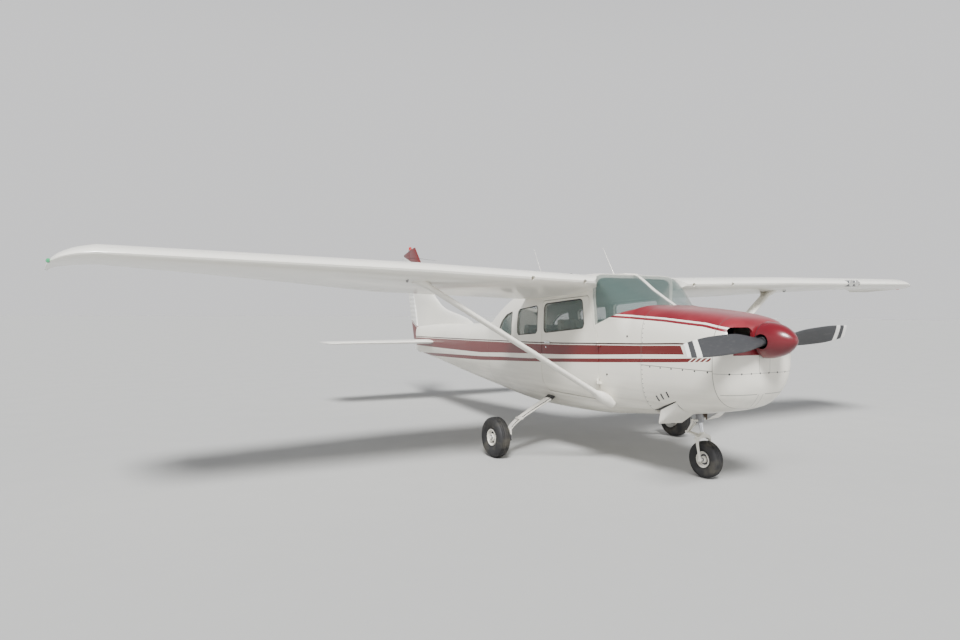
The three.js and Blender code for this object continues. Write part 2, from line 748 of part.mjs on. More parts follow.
function aboveFinTop() {
  return sidePrism([finTop[0], finTop[1], [8900, 2632], [8900, 3200], [7600, 3200], [7600, 2890]], -300, 300);
}

const onHinge = (z) => [0, hingeStation(z), z];

function rudderRoom() {
  const [low, high] = [600, 3000];
  const ahead = 10;
  const points = [
    [hingeStation(low) - ahead, low], [hingeStation(high) - ahead, high], [9400, high], [9400, low],
  ];
  return sidePrism(points, -300, 300).add(bar(onHinge(low), onHinge(high), rudderCove, 24));
}

// The rudder turns on plates of the fin that stand in slots of its nose, square to the hinge line.
const rudderPlates = [1450, 2350];
const rudderPlate = { ahead: 90, behind: 6, half: 10, thickness: 10 };

function hingePlate(height, clearance) {
  const { ahead, behind, half, thickness } = rudderPlate;
  const depth = thickness / 2 + clearance;
  const [fore, aft] = clearance > 0 ? [-rudderCove - 10, behind + 6] : [-ahead, behind];
  const across = clearance > 0 ? rudderCove + 10 : half;
  const [x, y, z] = onHinge(height);
  const tilt = new THREE.Matrix4().makeRotationX(-Math.atan(hingeSlope));
  const plate = box([-across, fore, -depth], [across, aft, depth]);
  return moved(plate, new THREE.Matrix4().makeTranslation(x, y, z).multiply(tilt));
}

function fin() {
  const outer = loft(finTable.map((row) => finSection(row)));
  const hollowRows = finTable.filter(([height]) => height < 2500);
  const hollow = loft(hollowRows.map((row) => finSection(row, { front: 0.1, rear: 0.62, inset: tailSkin })));
  const whole = outer.subtract(hollow);
  const beaconProfile = [[0, -20], [34, -20], [34, 22], [24, 46], [0, 56]];
  const beacon = turned(beaconProfile, [0, 8275, 2757], new THREE.Vector3(0, 0, 1), 16);
  const plates = rudderPlates.map((height) => hingePlate(height, 0));
  return union([whole.subtract(union([wholeBody, rudderRoom(), aboveFinTop()])), beacon, ...plates]);
}

function rudder() {
  const rings = rudderTable.map(([height, half]) => {
    const hinge = hingeStation(height);
    const rear = rudderRear(height);
    const steps = 8;
    const nose = Array.from({ length: steps + 1 }, (_, i) => {
      const angle = Math.PI / 2 + (Math.PI * i) / steps;
      return [half * Math.sin(angle), hinge + half * Math.cos(angle), height];
    });
    return [[trailingHalf, rear, height], ...nose, [-trailingHalf, rear, height]];
  });
  const below = sidePrism([[7800, 700], [8400, 700], [8400, 870], [7880, 800]], -300, 300);
  const slots = rudderPlates.map((height) => hingePlate(height, seam));
  return loft(rings).subtract(union([aboveFinTop(), below, ...slots]));
}

function stabRow(x) {
  const reach = Math.abs(x);
  let i = 0;
  while (i < stabTable.length - 2 && stabTable[i + 1][0] < reach) i += 1;
  const [inner, outer] = [stabTable[i], stabTable[i + 1]];
  const t = (reach - inner[0]) / (outer[0] - inner[0]);
  return inner.map((value, column) => value + (outer[column] - value) * t);
}

function stabSection(x) {
  const [, front, chord, thickness] = stabRow(x);
  const at = (along, up) => [x, front + along, stabHeight + up];
  return { at, chord, thickness, camber: 0, hinge: stabHinge };
}

function stabLoft(stations, options) {
  return loft(stations.map((x) => {
    const { at, chord, thickness, camber } = stabSection(x);
    return foilRing(at, chord, thickness, camber, options);
  }));
}

// The stabiliser is hollow ahead of its rear spar, with a hole in the spar inside the tail cone.
function stabiliser() {
  const reach = stabTable.map((row) => row[0]);
  const outer = stabLoft([...reach.slice(1).reverse().map((x) => -x), ...reach]);
  const hollow = stabLoft([-1850, 0, 1850], { front: 0.07, rear: 0.48, inset: tailSkin });
  const hole = box([-40, 7200, stabHeight - 15], [40, 7600, stabHeight + 15]);
  return outer.subtract(union([hollow, hole, elevatorRoom()]));
}

// The slot ends ahead of the elevator's tube, which turns in a hole of the tail cone's walls.
function stabSlot() {
  const ring = (x) => {
    const [, front, chord, thickness] = stabRow(x);
    const at = (along, up) => [x, front - 1 + along, stabHeight + up];
    return foilRing(at, chord + 2, thickness, 0, { inset: -seam });
  };
  const ahead = box([-400, 6900, 900], [400, elevatorHinge - slotRear, 1200]);
  return loft([-400, 0, 400].map(ring)).intersect(ahead);
}

function elevatorRoom() {
  const stations = [-elevatorEnd - runningGap, 0, elevatorEnd + runningGap];
  return hingeCut(stations.map(stabSection), runningGap);
}

function elevator() {
  const halves = [1, -1].map((side) => loft([elevatorStart, elevatorEnd].map((x) => {
    const { at, chord, thickness, camber, hinge } = stabSection(side * x);
    return controlRing(at, chord, thickness, camber, hinge);
  })));
  const tubeEnd = (x) => [x, elevatorHinge, stabHeight];
  return union([...halves, bar(tubeEnd(-elevatorStart - 30), tubeEnd(elevatorStart + 30), elevatorTube)]);
}

function tailCone() {
  const shell = body(cabinEnd, 8080).subtract(body(4600, 7850, tailWall));
  const holeEnd = (x) => [x, elevatorHinge, stabHeight];
  const tubeHole = bar(holeEnd(-300), holeEnd(300), holeRadius(elevatorTube));
  const lug = box([-12, 7680, 745], [12, 7720, 805]);
  return shell.subtract(union([rudderRoom(), stabSlot(), tubeHole])).add(lug);
}

place('tail_cone', tailCone(), 'white');
place('fin', fin(), 'white');
place('rudder', rudder(), 'white');
place('stabiliser', stabiliser(), 'white');
place('elevator', elevator(), 'white');

// Wheels. A flat side of each faceted tyre is at the bottom.
const acrossAxis = new THREE.Vector3(1, 0, 0);

function hubHeight({ radius }) {
  return radius * Math.cos(Math.PI / tyreSides) - rideHeight;
}

function tyre({ radius, width, rim, station }, x) {
  const depth = radius - rim - seam;
  // share of the tyre's depth, share of its half-width
  const shape = [[0, 0.7], [0.4, 1], [0.75, 0.93], [0.93, 0.62], [1, 0.25]];
  const half = shape.map(([out, wide]) => [rim + seam + depth * out, (wide * width) / 2]);
  const other = half.map(([r, along]) => [r, -along]).reverse();
  const centre = [x, station, hubHeight({ radius })];
  return turned([...half, ...other, half[0]], centre, acrossAxis, tyreSides, Math.PI / tyreSides);
}

function rimShape({ radius, width, rim, station }, x, axleRadius) {
  const half = width * 0.4;
  const edge = rim * Math.cos(Math.PI / tyreSides);
  const lip = edge - 12;
  const hub = axleRadius + 18;
  const bore = axleRadius + 1;
  const face = [[bore, half], [hub, half], [hub, half * 0.35], [lip, half * 0.45], [lip, half], [edge, half]];
  const back = face.map(([r, a]) => [r, -a]).reverse();
  const ring = [...face, ...back, face[0]];
  return turned(ring, [x, station, hubHeight({ radius })], acrossAxis, rimSides);
}

const mainAxle = 20;
const noseAxle = 12;

// Main leg: x, station, height, width along the aircraft, thickness
const legTable = [
  [400, 3040, 600, 150, 28],
  [520, 3010, 540, 143, 27],
  [815, 2930, 435, 122, 24],
  [1105, 2842, 318, 98, 20],
  [1207, 2802, 250, 90, 18],
];

function mainLeg(side) {
  const rings = legTable.map(([x, station, height, wide, thick], i) => {
    const from = legTable[Math.max(i - 1, 0)];
    const to = legTable[Math.min(i + 1, legTable.length - 1)];
    const slope = Math.atan2(to[2] - from[2], to[0] - from[0]);
    const [nx, nz] = [-Math.sin(slope), Math.cos(slope)];
    const [halfWide, halfThick] = [wide / 2, thick / 2];
    const corner = (a, b) => {
      return [side * (x + nx * b * halfThick), station + a * halfWide, height + nz * b * halfThick];
    };
    return [corner(-0.8, 1), corner(0.8, 1), corner(1, 0), corner(0.8, -1), corner(-0.8, -1), corner(-1, 0)];
  });
  const height = hubHeight(mainWheel);
  const [from, to] = span(side, mainWheelSide - 161, mainWheelSide - 141);
  const plate = box([from, 2744, 137], [to, 2864, 274]);
  const end = mainWheelSide + mainWheel.width * 0.4 + 10;
  const axleEnds = [mainWheelSide - 153, end].map((x) => [side * x, mainWheel.station, height]);
  const axle = bar(...axleEnds, mainAxle);
  return union([loft(rings), plate, axle]).subtract(wholeBody);
}

// Nose gear: a cylinder on the firewall, and the steered fork whose piston slides in it
const strutSlope = 0.225;
const piston = 24;
const strutStation = (z) => 1145 + (z - 526) * strutSlope;
const onStrut = (z) => [0, strutStation(z), z];

function noseCylinder() {
  const outer = bar(onStrut(490), onStrut(955), 38);
  const collar = bar(onStrut(485), onStrut(525), 46);
  const bore = bar(onStrut(465), onStrut(780), holeRadius(piston));
  const bracket = box([-45, strutStation(880), 850], [45, firewallStation - seam, 900]);
  const lowBracket = box([-30, strutStation(640) + 10, 640], [30, firewallStation - seam, 670]);
  return union([outer, collar, bracket, lowBracket]).subtract(bore);
}

function forkLeg(side) {
  // station, height, half-width of the leg along the aircraft
  const rows = [[1103, 362, 22], [1096, 320, 19], [1080, 240, 15], [1067, 172, 14], [1063, 127, 15]];
  const [near, far] = [side * 72, side * 88];
  return loft(rows.map(([station, height, half]) => [
    [near, station - half, height], [near, station + half, height],
    [far, station + half, height], [far, station - half, height],
  ]));
}

function noseFork() {
  const rod = bar(onStrut(345), onStrut(740), piston);
  const crown = box([-88, strutStation(352) - 24, 332], [88, strutStation(352) + 24, 372]);
  const height = hubHeight(noseWheel);
  const axle = bar([-98, noseWheel.station, height], [98, noseWheel.station, height], noseAxle);
  const lowLink = bar([0, 1122, 355], [0, 1300, 378], 11);
  const highLink = bar([0, 1300, 376], [0, 1202, 494], 9);
  return union([rod, crown, forkLeg(1), forkLeg(-1), axle, lowLink, highLink]);
}

for (const [name, side] of Object.entries(sides)) {
  place(`main_leg_${name}`, mainLeg(side), 'white');
  place(`main_rim_${name}`, rimShape(mainWheel, side * mainWheelSide, mainAxle), 'white');
  place(`main_tyre_${name}`, tyre(mainWheel, side * mainWheelSide), 'rubber');
}
place('nose_cylinder', noseCylinder(), 'steel');
place('nose_fork', noseFork(), 'white');
place('nose_rim', rimShape(noseWheel, 0, noseAxle), 'white');
place('nose_tyre', tyre(noseWheel, 0), 'rubber');

// Propeller: hub, shaft, back plate and two blades in one piece, and the spinner over the hub
// radius, chord, thickness, pitch in degrees
const bladeTable = [
  [110, 84, 56, 62],
  [220, 132, 40, 48],
  [420, 185, 26, 34],
  [700, 180, 18, 25],
  [920, 150, 12, 19],
  [1020, 126, 9, 17],
  [1055, 112, 7, 16],
];

function blade(side) {
  const { turn, station } = propeller;
  const out = new THREE.Vector3(side * Math.cos(turn), 0, side * Math.sin(turn));
  const forward = new THREE.Vector3(0, -1, 0);
  const tangent = forward.clone().cross(out);
  const hub = new THREE.Vector3(0, station, thrustHeight);
  const rings = bladeTable.map(([radius, chord, thickness, degrees]) => {
    const pitch = THREE.MathUtils.degToRad(degrees);
    const lead = tangent.clone().multiplyScalar(Math.cos(pitch)).addScaledVector(forward, Math.sin(pitch));
    const face = lead.clone().cross(out);
    const start = hub.clone().addScaledVector(out, radius).addScaledVector(lead, 0.42 * chord);
    const at = (a, h) => start.clone().addScaledVector(lead, -a).addScaledVector(face, h).toArray();
    return foilRing(at, chord, thickness / chord, 0);
  });
  const root = bar(hub.toArray(), hub.clone().addScaledVector(out, 150).toArray(), 42);
  return loft(rings).add(root);
}

function propellerShape() {
  const { backplate, spinnerRadius } = propeller;
  const at = (station) => [0, station, thrustHeight];
  const hub = bar(at(255), at(backplate), 66);
  const plate = bar(at(backplate - 6), at(backplate), spinnerRadius - 2, spinnerSides);
  const shaft = bar(at(backplate - 6), at(540 - seam), 50);
  return union([hub, plate, shaft, blade(1), blade(-1)]);
}

function spinner() {
  const { backplate, spinnerRadius, turn, station } = propeller;
  const length = backplate - 6 - seam - spinnerTip;
  const wall = 5;
  // share of the length from the tip, share of the base radius
  const shape = [[0, 0], [0.04, 0.2], [0.14, 0.42], [0.32, 0.67], [0.6, 0.89], [1, 1]];
  const outer = shape.map(([back, out]) => [out * spinnerRadius, back * length]);
  const inner = shape.map(([back, out]) => [out * (spinnerRadius - wall), 2 * wall + back * (length + 20)]);
  const along = new THREE.Vector3(0, 1, 0);
  const tip = [0, spinnerTip, thrustHeight];
  const shell = turned([...outer, [0, length]], tip, along, spinnerSides)
    .subtract(turned([...inner, [0, length + 20 + 2 * wall]], tip, along, spinnerSides));
  const reach = new THREE.Vector3(Math.cos(turn), 0, Math.sin(turn)).multiplyScalar(300);
  const hub = new THREE.Vector3(0, station, thrustHeight);
  const slot = bar(hub.clone().sub(reach).toArray(), hub.clone().add(reach).toArray(), 66);
  return shell.subtract(slot);
}

place('propeller', propellerShape(), 'grey');
place('spinner', spinner(), 'red');

export default aircraft;
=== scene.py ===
import bpy
import bmesh
import json
import math
from mathutils import Matrix, Vector

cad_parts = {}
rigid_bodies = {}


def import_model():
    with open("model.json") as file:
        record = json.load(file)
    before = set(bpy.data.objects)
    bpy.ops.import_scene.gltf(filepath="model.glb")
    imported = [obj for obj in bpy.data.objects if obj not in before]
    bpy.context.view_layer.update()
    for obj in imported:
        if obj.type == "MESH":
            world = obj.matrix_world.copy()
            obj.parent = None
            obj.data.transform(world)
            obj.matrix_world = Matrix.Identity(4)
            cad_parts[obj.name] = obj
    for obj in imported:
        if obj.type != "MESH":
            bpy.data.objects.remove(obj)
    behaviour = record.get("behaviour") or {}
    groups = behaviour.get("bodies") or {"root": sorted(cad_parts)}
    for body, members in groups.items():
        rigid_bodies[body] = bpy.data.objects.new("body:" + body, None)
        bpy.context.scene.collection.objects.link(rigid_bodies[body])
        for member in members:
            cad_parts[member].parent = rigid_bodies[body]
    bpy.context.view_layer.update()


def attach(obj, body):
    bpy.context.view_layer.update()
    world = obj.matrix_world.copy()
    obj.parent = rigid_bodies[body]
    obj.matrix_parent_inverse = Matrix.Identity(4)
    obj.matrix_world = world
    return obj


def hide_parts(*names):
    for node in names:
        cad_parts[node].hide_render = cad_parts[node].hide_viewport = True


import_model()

# Lengths are in metres. A station is a distance measured aft; y is the station less this middle. Heights are
# measured on the airframe, which is lifted by the ride height when a piece is dressed.
middle = 4.42
rideHeight = 0.038
hubHeight = 1.339
sides = {"left": 1, "right": -1}


# Camera

cameraView = {"place": (-5.1324, -8.0380, 1.6355), "yaw": 0.5059, "pitch": -0.0156, "roll": 0.0047,
              "lens": 25.25}


def makeCamera(values):
    yaw, pitch, roll = values["yaw"], values["pitch"], values["roll"]
    ahead = Vector((math.sin(yaw) * math.cos(pitch), math.cos(yaw) * math.cos(pitch), math.sin(pitch)))
    level = Vector((math.cos(yaw), -math.sin(yaw), 0))
    up = level.cross(ahead)
    right = level * math.cos(roll) + up * math.sin(roll)
    top = up * math.cos(roll) - level * math.sin(roll)
    data = bpy.data.cameras.new("camera")
    data.sensor_width = 36
    data.lens = values["lens"]
    data.clip_start, data.clip_end = 0.05, 200
    camera = bpy.data.objects.new("camera", data)
    bpy.context.scene.collection.objects.link(camera)
    turn = Matrix((right, top, -ahead)).transposed().to_4x4()
    camera.matrix_world = Matrix.Translation(values["place"]) @ turn
    bpy.context.scene.camera = camera


makeCamera(cameraView)
print("camera set")


# Tables that run smoothly from row to row, with corners where the real shape has them

def smoothTable(rows, corners=()):
    parts = [[rows[0]]]
    for row in rows[1:]:
        parts[-1].append(row)
        if row[0] in corners and row is not rows[-1]:
            parts.append([row])

    def slopes(part, column):
        steps = [(b[column] - a[column]) / (b[0] - a[0]) for a, b in zip(part, part[1:])]
        inner = [0 if p * q <= 0 else 2 * p * q / (p + q) for p, q in zip(steps, steps[1:])]
        return [steps[0], *inner, steps[-1]]

    known = [[slopes(part, column) for column in range(len(rows[0]))] for part in parts]

    def at(value):
        value = min(max(value, rows[0][0]), rows[-1][0])
        which = next(i for i, part in enumerate(parts) if value <= part[-1][0])
        part = parts[which]
        i = next(i for i in range(len(part) - 1) if value <= part[i + 1][0])
        width = part[i + 1][0] - part[i][0]
        t = (value - part[i][0]) / width
        result = []
        for column, slope in enumerate(known[which]):
            a, b = part[i][column], part[i + 1][column]
            result.append(
                (1 + 2 * t) * (1 - t) ** 2 * a + t * t * (3 - 2 * t) * b
                + width * (t * (1 - t) ** 2 * slope[i] - t * t * (1 - t) * slope[i + 1])
            )
        return result

    return at


def spread(start, end, step):
    count = max(1, math.ceil((end - start) / step))
    return [start + (end - start) * i / count for i in range(count + 1)]


# Pieces from bmesh, and cuts between them

def place(x, station, height):
    return x, station - middle, height


def finished(name, bm, smooth=30):
    bmesh.ops.remove_doubles(bm, verts=bm.verts, dist=1e-6)
    bmesh.ops.recalc_face_normals(bm, faces=bm.faces)
    mesh = bpy.data.meshes.new(name)
    bm.to_mesh(mesh)
    bm.free()
    piece = bpy.data.objects.new(name, mesh)
    bpy.context.scene.collection.objects.link(piece)
    shaded(mesh, smooth)
    return piece


def turns(count, shift=0.0):
    return [(i + shift) / count * 2 * math.pi for i in range(count)]


def bulged(value, power):
    return math.copysign(abs(value) ** power, value)


def ringIn(bm, points):
    verts = [bm.verts.new(point) for point in points]
    return [bm.edges.new((a, b)) for a, b in zip(verts, verts[1:] + verts[:1])]


def lofted(rings):
    bm = bmesh.new()
    loops = [ringIn(bm, points) for points in rings]
    for near, far in zip(loops, loops[1:]):
        bmesh.ops.bridge_loops(bm, edges=near + far)
    for loop in (loops[0], loops[-1]):
        bmesh.ops.contextual_create(bm, geom=loop)
    bmesh.ops.recalc_face_normals(bm, faces=bm.faces)
    return bm


def joined(parts):
    whole = bmesh.new()
    for part in parts:
        mesh = bpy.data.meshes.new("part")
        part.to_mesh(mesh)
        part.free()
        whole.from_mesh(mesh)
        bpy.data.meshes.remove(mesh)
    return whole


# the result of a piece's modifiers takes the place of its mesh
def baked(piece):
    graph = bpy.context.evaluated_depsgraph_get()
    mesh = bpy.data.meshes.new_from_object(piece.evaluated_get(graph))
    piece.modifiers.clear()
    old = piece.data
    piece.data = mesh
    bpy.data.meshes.remove(old)


def shaded(mesh, smooth):
    mesh.shade_smooth()
    mesh.set_sharp_from_angle(angle=math.radians(smooth))


def combine(piece, tool, how="DIFFERENCE", smooth=30):
    cut = piece.modifiers.new("cut", "BOOLEAN")
    cut.operation = how
    cut.solver = "EXACT"
    cut.object = tool
    baked(piece)
    shaded(piece.data, smooth)


# a tool that tidyTools takes away again
def cutter(bm):
    return finished("cutter", bm)


def dropped(*pieces):
    for piece in pieces:
        mesh = piece.data
        bpy.data.objects.remove(piece)
        bpy.data.meshes.remove(mesh)


def copied(piece, name):
    twin = piece.copy()
    twin.data = piece.data.copy()
    twin.name = twin.data.name = name
    bpy.context.scene.collection.objects.link(twin)
    return twin


def roundedFace(bm, points, corner, segments=6):
    verts = [bm.verts.new(point) for point in points]
    face = bm.faces.new(verts)
    if corner > 0:
        bmesh.ops.bevel(bm, geom=verts, affect="VERTICES", offset=corner, segments=segments, profile=0.5,
                        material=-1)
    return list(bm.faces)[0] if len(bm.faces) == 1 else face


# points are pairs on the plane across the axis
def prism(points, axis, start, end, corner=0, segments=6):
    bm = bmesh.new()
    which = "xyz".index(axis)
    face = roundedFace(bm, [(*pair[:which], start, *pair[which:]) for pair in points], corner, segments)
    moved = bmesh.ops.extrude_face_region(bm, geom=[face])["geom"]
    step = [0, 0, 0]
    step[which] = end - start
    bmesh.ops.translate(bm, verts=[g for g in moved if isinstance(g, bmesh.types.BMVert)], vec=step)
    return bm


# an outline of stations and heights, made a solid between two x
def sideCut(points, start, end, corner=0):
    return cutter(prism([(s - middle, z) for s, z in points], "x", start, end, corner))


def slab(low, high):
    bm = bmesh.new()
    bmesh.ops.create_cube(bm, size=1)
    size = [b - a for a, b in zip(low, high)]
    bmesh.ops.scale(bm, vec=size, verts=bm.verts)
    bmesh.ops.translate(bm, vec=[(a + b) / 2 for a, b in zip(low, high)], verts=bm.verts)
    return bm


def rod(start, end, radius, sides=24, tip=None):
    start, end = Vector(start), Vector(end)
    along = end - start
    bm = bmesh.new()
    far = radius if tip is None else tip
    bmesh.ops.create_cone(bm, cap_ends=True, segments=sides, radius1=radius, radius2=far,
                          depth=along.length)
    turn = along.to_track_quat("Z", "Y").to_matrix().to_4x4()
    bmesh.ops.transform(bm, matrix=Matrix.Translation((start + end) / 2) @ turn, verts=bm.verts)
    return bm


# a profile of (radius, distance along the axis), turned all the way round
def spun(profile, centre, axis, steps=48):
    axis = Vector(axis).normalized()
    out = axis.orthogonal().normalized()
    bm = bmesh.new()
    verts = [bm.verts.new(Vector(centre) + out * radius + axis * along) for radius, along in profile]
    edges = [bm.edges.new(pair) for pair in zip(verts, verts[1:])]
    bmesh.ops.spin(bm, geom=verts + edges, cent=centre, axis=axis, angle=2 * math.pi, steps=steps,
                   use_merge=True)
    bmesh.ops.remove_doubles(bm, verts=bm.verts, dist=1e-6)
    bmesh.ops.recalc_face_normals(bm, faces=bm.faces)
    return bm


# an outline with each edge moved outward
def grown(points, distance):
    area = sum(u * q - p * v for (u, v), (p, q) in zip(points, points[1:] + points[:1]))
    way = math.copysign(distance, area)
    lines = []
    for (u, v), (p, q) in zip(points, points[1:] + points[:1]):
        length = math.hypot(p - u, q - v)
        normal = ((q - v) / length, -(p - u) / length)
        lines.append((*normal, u * normal[0] + v * normal[1] + way))
    result = []
    for one, two in zip(lines[-1:] + lines[:-1], lines):
        cross = one[0] * two[1] - one[1] * two[0]
        result.append(((one[2] * two[1] - two[2] * one[1]) / cross,
                       (two[2] * one[0] - one[2] * two[0]) / cross))
    return result


# Materials

def newMaterial(name, color, roughness, metallic=0.0, coat=0.0):
    material = bpy.data.materials.new(name)
    material.use_nodes = True
    shader = material.node_tree.nodes["Principled BSDF"]
    shader.inputs["Base Color"].default_value = (*color, 1)
    shader.inputs["Roughness"].default_value = roughness
    shader.inputs["Metallic"].default_value = metallic
    shader.inputs["Coat Weight"].default_value = coat
    shader.inputs["Coat Roughness"].default_value = 0.08
    return material


def shaderOf(material):
    return material.node_tree.nodes["Principled BSDF"]


def give(material, name, value):
    feed(material, value, shaderOf(material).inputs[name])


def addNode(material, kind, **values):
    node = material.node_tree.nodes.new("ShaderNode" + kind)
    for key, value in values.items():
        setattr(node, key, value)
    return node


def feed(material, value, socket):
    if isinstance(value, bpy.types.NodeSocket):
        material.node_tree.links.new(value, socket)
    elif value is not None:
        socket.default_value = value


def calc(material, operation, first, second=None):
    node = addNode(material, "Math", operation=operation)
    feed(material, first, node.inputs[0])
    feed(material, second, node.inputs[1])
    return node.outputs[0]


def times(material, first, second):
    return calc(material, "MULTIPLY", first, second)


def plus(material, first, second):
    return calc(material, "ADD", first, second)


def minus(material, first, second):
    return calc(material, "SUBTRACT", first, second)


def most(material, first, second):
    return calc(material, "MAXIMUM", first, second)


# 1 where a value is past a limit, and 0 elsewhere
def over(material, value, limit):
    return calc(material, "GREATER_THAN", value, limit)


def under(material, value, limit):
    return calc(material, "LESS_THAN", value, limit)


def waves(material, value, pitch):
    return calc(material, "SINE", times(material, value, 2 * math.pi / pitch))


def mixed(material, amount, first, second):
    node = addNode(material, "Mix", data_type="RGBA")
    feed(material, amount, node.inputs[0])
    for value, socket in ((first, node.inputs[6]), (second, node.inputs[7])):
        feed(material, (*value, 1) if isinstance(value, tuple) and len(value) == 3 else value, socket)
    return node.outputs[2]


def places(material):
    coordinates = addNode(material, "TexCoord").outputs["Object"]
    parts = addNode(material, "SeparateXYZ")
    feed(material, coordinates, parts.inputs[0])
    return coordinates, parts.outputs[0], parts.outputs[1], minus(material, parts.outputs[2], rideHeight)


def noise(material, coordinates, scale, detail=4, stretch=None):
    if stretch:
        mapping = addNode(material, "Mapping")
        feed(material, coordinates, mapping.inputs["Vector"])
        mapping.inputs["Scale"].default_value = stretch
        coordinates = mapping.outputs[0]
    node = addNode(material, "TexNoise")
    feed(material, coordinates, node.inputs["Vector"])
    node.inputs["Scale"].default_value = scale
    node.inputs["Detail"].default_value = detail
    return node.outputs["Fac"]


# 1 where value lies between two limits, and 0 elsewhere
def between(material, value, low, high):
    return times(material, over(material, value, low), under(material, value, high))


def ranged(material, value, low, high, first=0.0, second=1.0):
    node = addNode(material, "MapRange", interpolation_type="SMOOTHSTEP")
    for socket, number in zip(node.inputs, (value, low, high, first, second)):
        feed(material, number, socket)
    return node.outputs[0]


# the height of a painted line at a station, from points of (station, height)
def heightLine(material, station, points):
    node = addNode(material, "FloatCurve")
    curve = node.mapping.curves[0]
    ends = [(0, points[0][1]), *points, (9, points[-1][1])]
    for i, (s, z) in enumerate(ends):
        point = curve.points[0] if i == 0 else curve.points[-1] if i == len(ends) - 1 else None
        if point is None:
            point = curve.points.new(s / 9, z / 2)
        else:
            point.location = (s / 9, z / 2)
        point.handle_type = "VECTOR"
    node.mapping.update()
    feed(material, calc(material, "DIVIDE", station, 9.0), node.inputs["Value"])
    return times(material, node.outputs[0], 2.0)


def bumped(material, height, distance, strength=1.0):
    bump = addNode(material, "Bump")
    bump.inputs["Strength"].default_value = strength
    bump.inputs["Distance"].default_value = distance
    feed(material, height, bump.inputs["Height"])
    give(material, "Normal", bump.outputs[0])


# round heads in a row along one way, at a value of the other
def rivetRow(material, across, along, at, pitch, size):
    off = calc(material, "ABSOLUTE", minus(material, across, at))
    step = minus(material, calc(material, "FRACT", calc(material, "DIVIDE", along, pitch)), 0.5)
    step = times(material, step, pitch)
    far = calc(material, "SQRT", plus(material, times(material, off, off), times(material, step, step)))
    return under(material, far, size)


white = (0.82, 0.79, 0.70)
red = (0.165, 0.008, 0.015)
fadedRed = (0.22, 0.022, 0.03)
stripeRed = (0.125, 0.004, 0.004)
pinRed = (0.035, 0.003, 0.003)
yellowed = (0.70, 0.685, 0.62)
# the brown that white paint turns in streaks towards the bottom
lowStreakBrown = (0.36, 0.34, 0.28)
jointDark = (0.10, 0.095, 0.085)
fastenerDark = (0.03, 0.03, 0.03)
rivet = {"size": 0.0035, "pitch": 0.03, "widePitch": 0.035}
beadPitch = 0.085  # of the pressed beads on the control surfaces

stripes = {
    "wideTop": [(0.5, 1.285), (0.97, 1.271), (1.42, 1.248), (2.01, 1.226), (2.72, 1.197), (3.39, 1.177),
                (4.27, 1.158), (4.96, 1.139), (6.66, 1.100), (8.1, 1.07)],
    "wideBottom": [(0.5, 1.208), (0.97, 1.188), (1.42, 1.163), (2.01, 1.124), (2.72, 1.084), (3.39, 1.056),
                   (4.27, 1.012), (4.96, 0.974), (6.66, 0.946), (8.1, 0.93)],
    "narrowTop": [(0.5, 1.185), (0.97, 1.150), (1.42, 1.122), (2.01, 1.085), (2.72, 1.039), (3.39, 0.996),
                  (4.27, 0.957), (4.96, 0.919), (6.66, 0.852), (8.1, 0.79)],
    "narrowBottom": [(0.5, 1.152), (0.97, 1.115), (1.42, 1.084), (2.01, 1.043), (2.72, 0.997),
                     (3.39, 0.957), (4.27, 0.905), (4.96, 0.862), (6.66, 0.798), (8.1, 0.74)],
    "cowlLine": [(0.30, 1.40), (0.416, 1.433), (0.684, 1.486), (1.16, 1.525), (1.721, 1.553), (2.2, 1.575)],
}
paintValues = {
    "pin": (0.010, 0.025), "whiteLine": 0.002, "cowlRed": (-0.036, -0.014), "noseLow": 1.205,
    "noseRear": 0.47, "noseSide": 0.38,
    "stripeFront": 0.885, "pinFront": 0.70, "slashes": (0.572, 0.79), "slashPitch": 0.0492,
    "slashLean": 1.3, "solidFrom": 2.2802,
}


# white paint that yellows and dulls, and turns browner in streaks towards the bottom
def agedWhite(material, coordinates, height, base=white):
    cloud = noise(material, coordinates, 1.6, 5)
    streak = noise(material, coordinates, 9.0, 4, (1.0, 0.12, 2.2))
    # browner streaks, fading out upwards from the bottom
    low = ranged(material, height, 0.42, 1.05, 1.0, 0.0)
    lowStreaks = times(material, low, ranged(material, streak, 0.35, 0.7))
    color = mixed(material, ranged(material, cloud, 0.3, 0.75, 0.0, 0.35), base, yellowed)
    color = mixed(material, times(material, lowStreaks, 0.45), color, lowStreakBrown)
    rough = plus(material, 0.24, times(material, cloud, 0.16))
    give(material, "Roughness", rough)
    return color


# Joints between the outer panels, and their fasteners, as shares of dark paint. Each joint is a coordinate,
# its value there, its half-width and darkness, and the limits of the other coordinates.
cowlJoints = [
    ("station", 1.402, 0.003, 0.55, {}), ("station", 0.559, 0.003, 0.7, {}),
    ("height", 1.0615, 0.003, 0.75, {"station": (0.56, 1.40)}),
    ("height", 1.042, 0.0025, 0.6, {"station": (0.3, 0.559)}),
    ("height", 0.850, 0.003, 0.75, {"station": (0.3, 0.535), "side": (0.05, 0.6)}),
    ("side", 0.07, 0.003, 0.5, {"station": (0.3, 0.47), "height": (1.04, 1.2)}),
    ("side", 0.03, 0.003, 0.6, {"station": (0.3, 0.56), "height": (0.6, 0.85)}),
    ("station", 4.652, 0.0025, 0.4, {}), ("station", 5.35, 0.002, 0.25, {}),
    ("station", 6.05, 0.002, 0.25, {}),
    ("station", 6.75, 0.002, 0.25, {}), ("station", 7.45, 0.002, 0.25, {}),
]
bodyRivets = (1.36, 2.0, 3.15, 4.61, 4.69, 5.35, 6.05, 6.75, 7.45)  # stations of the rivet rows
# Coordinate across the row and its value there, coordinate along it, pitch, size, and limits.
cowlFasteners = [
    ("station", 1.388, "height", 0.045, 0.0050, {"height": (0.6, 1.6)}),
    ("height", 1.050, "station", 0.135, 0.0085, {"station": (0.6, 1.40)}),
    ("height", 1.042, "x", 0.115, 0.0085, {"station": (0.3, 0.559)}),
]


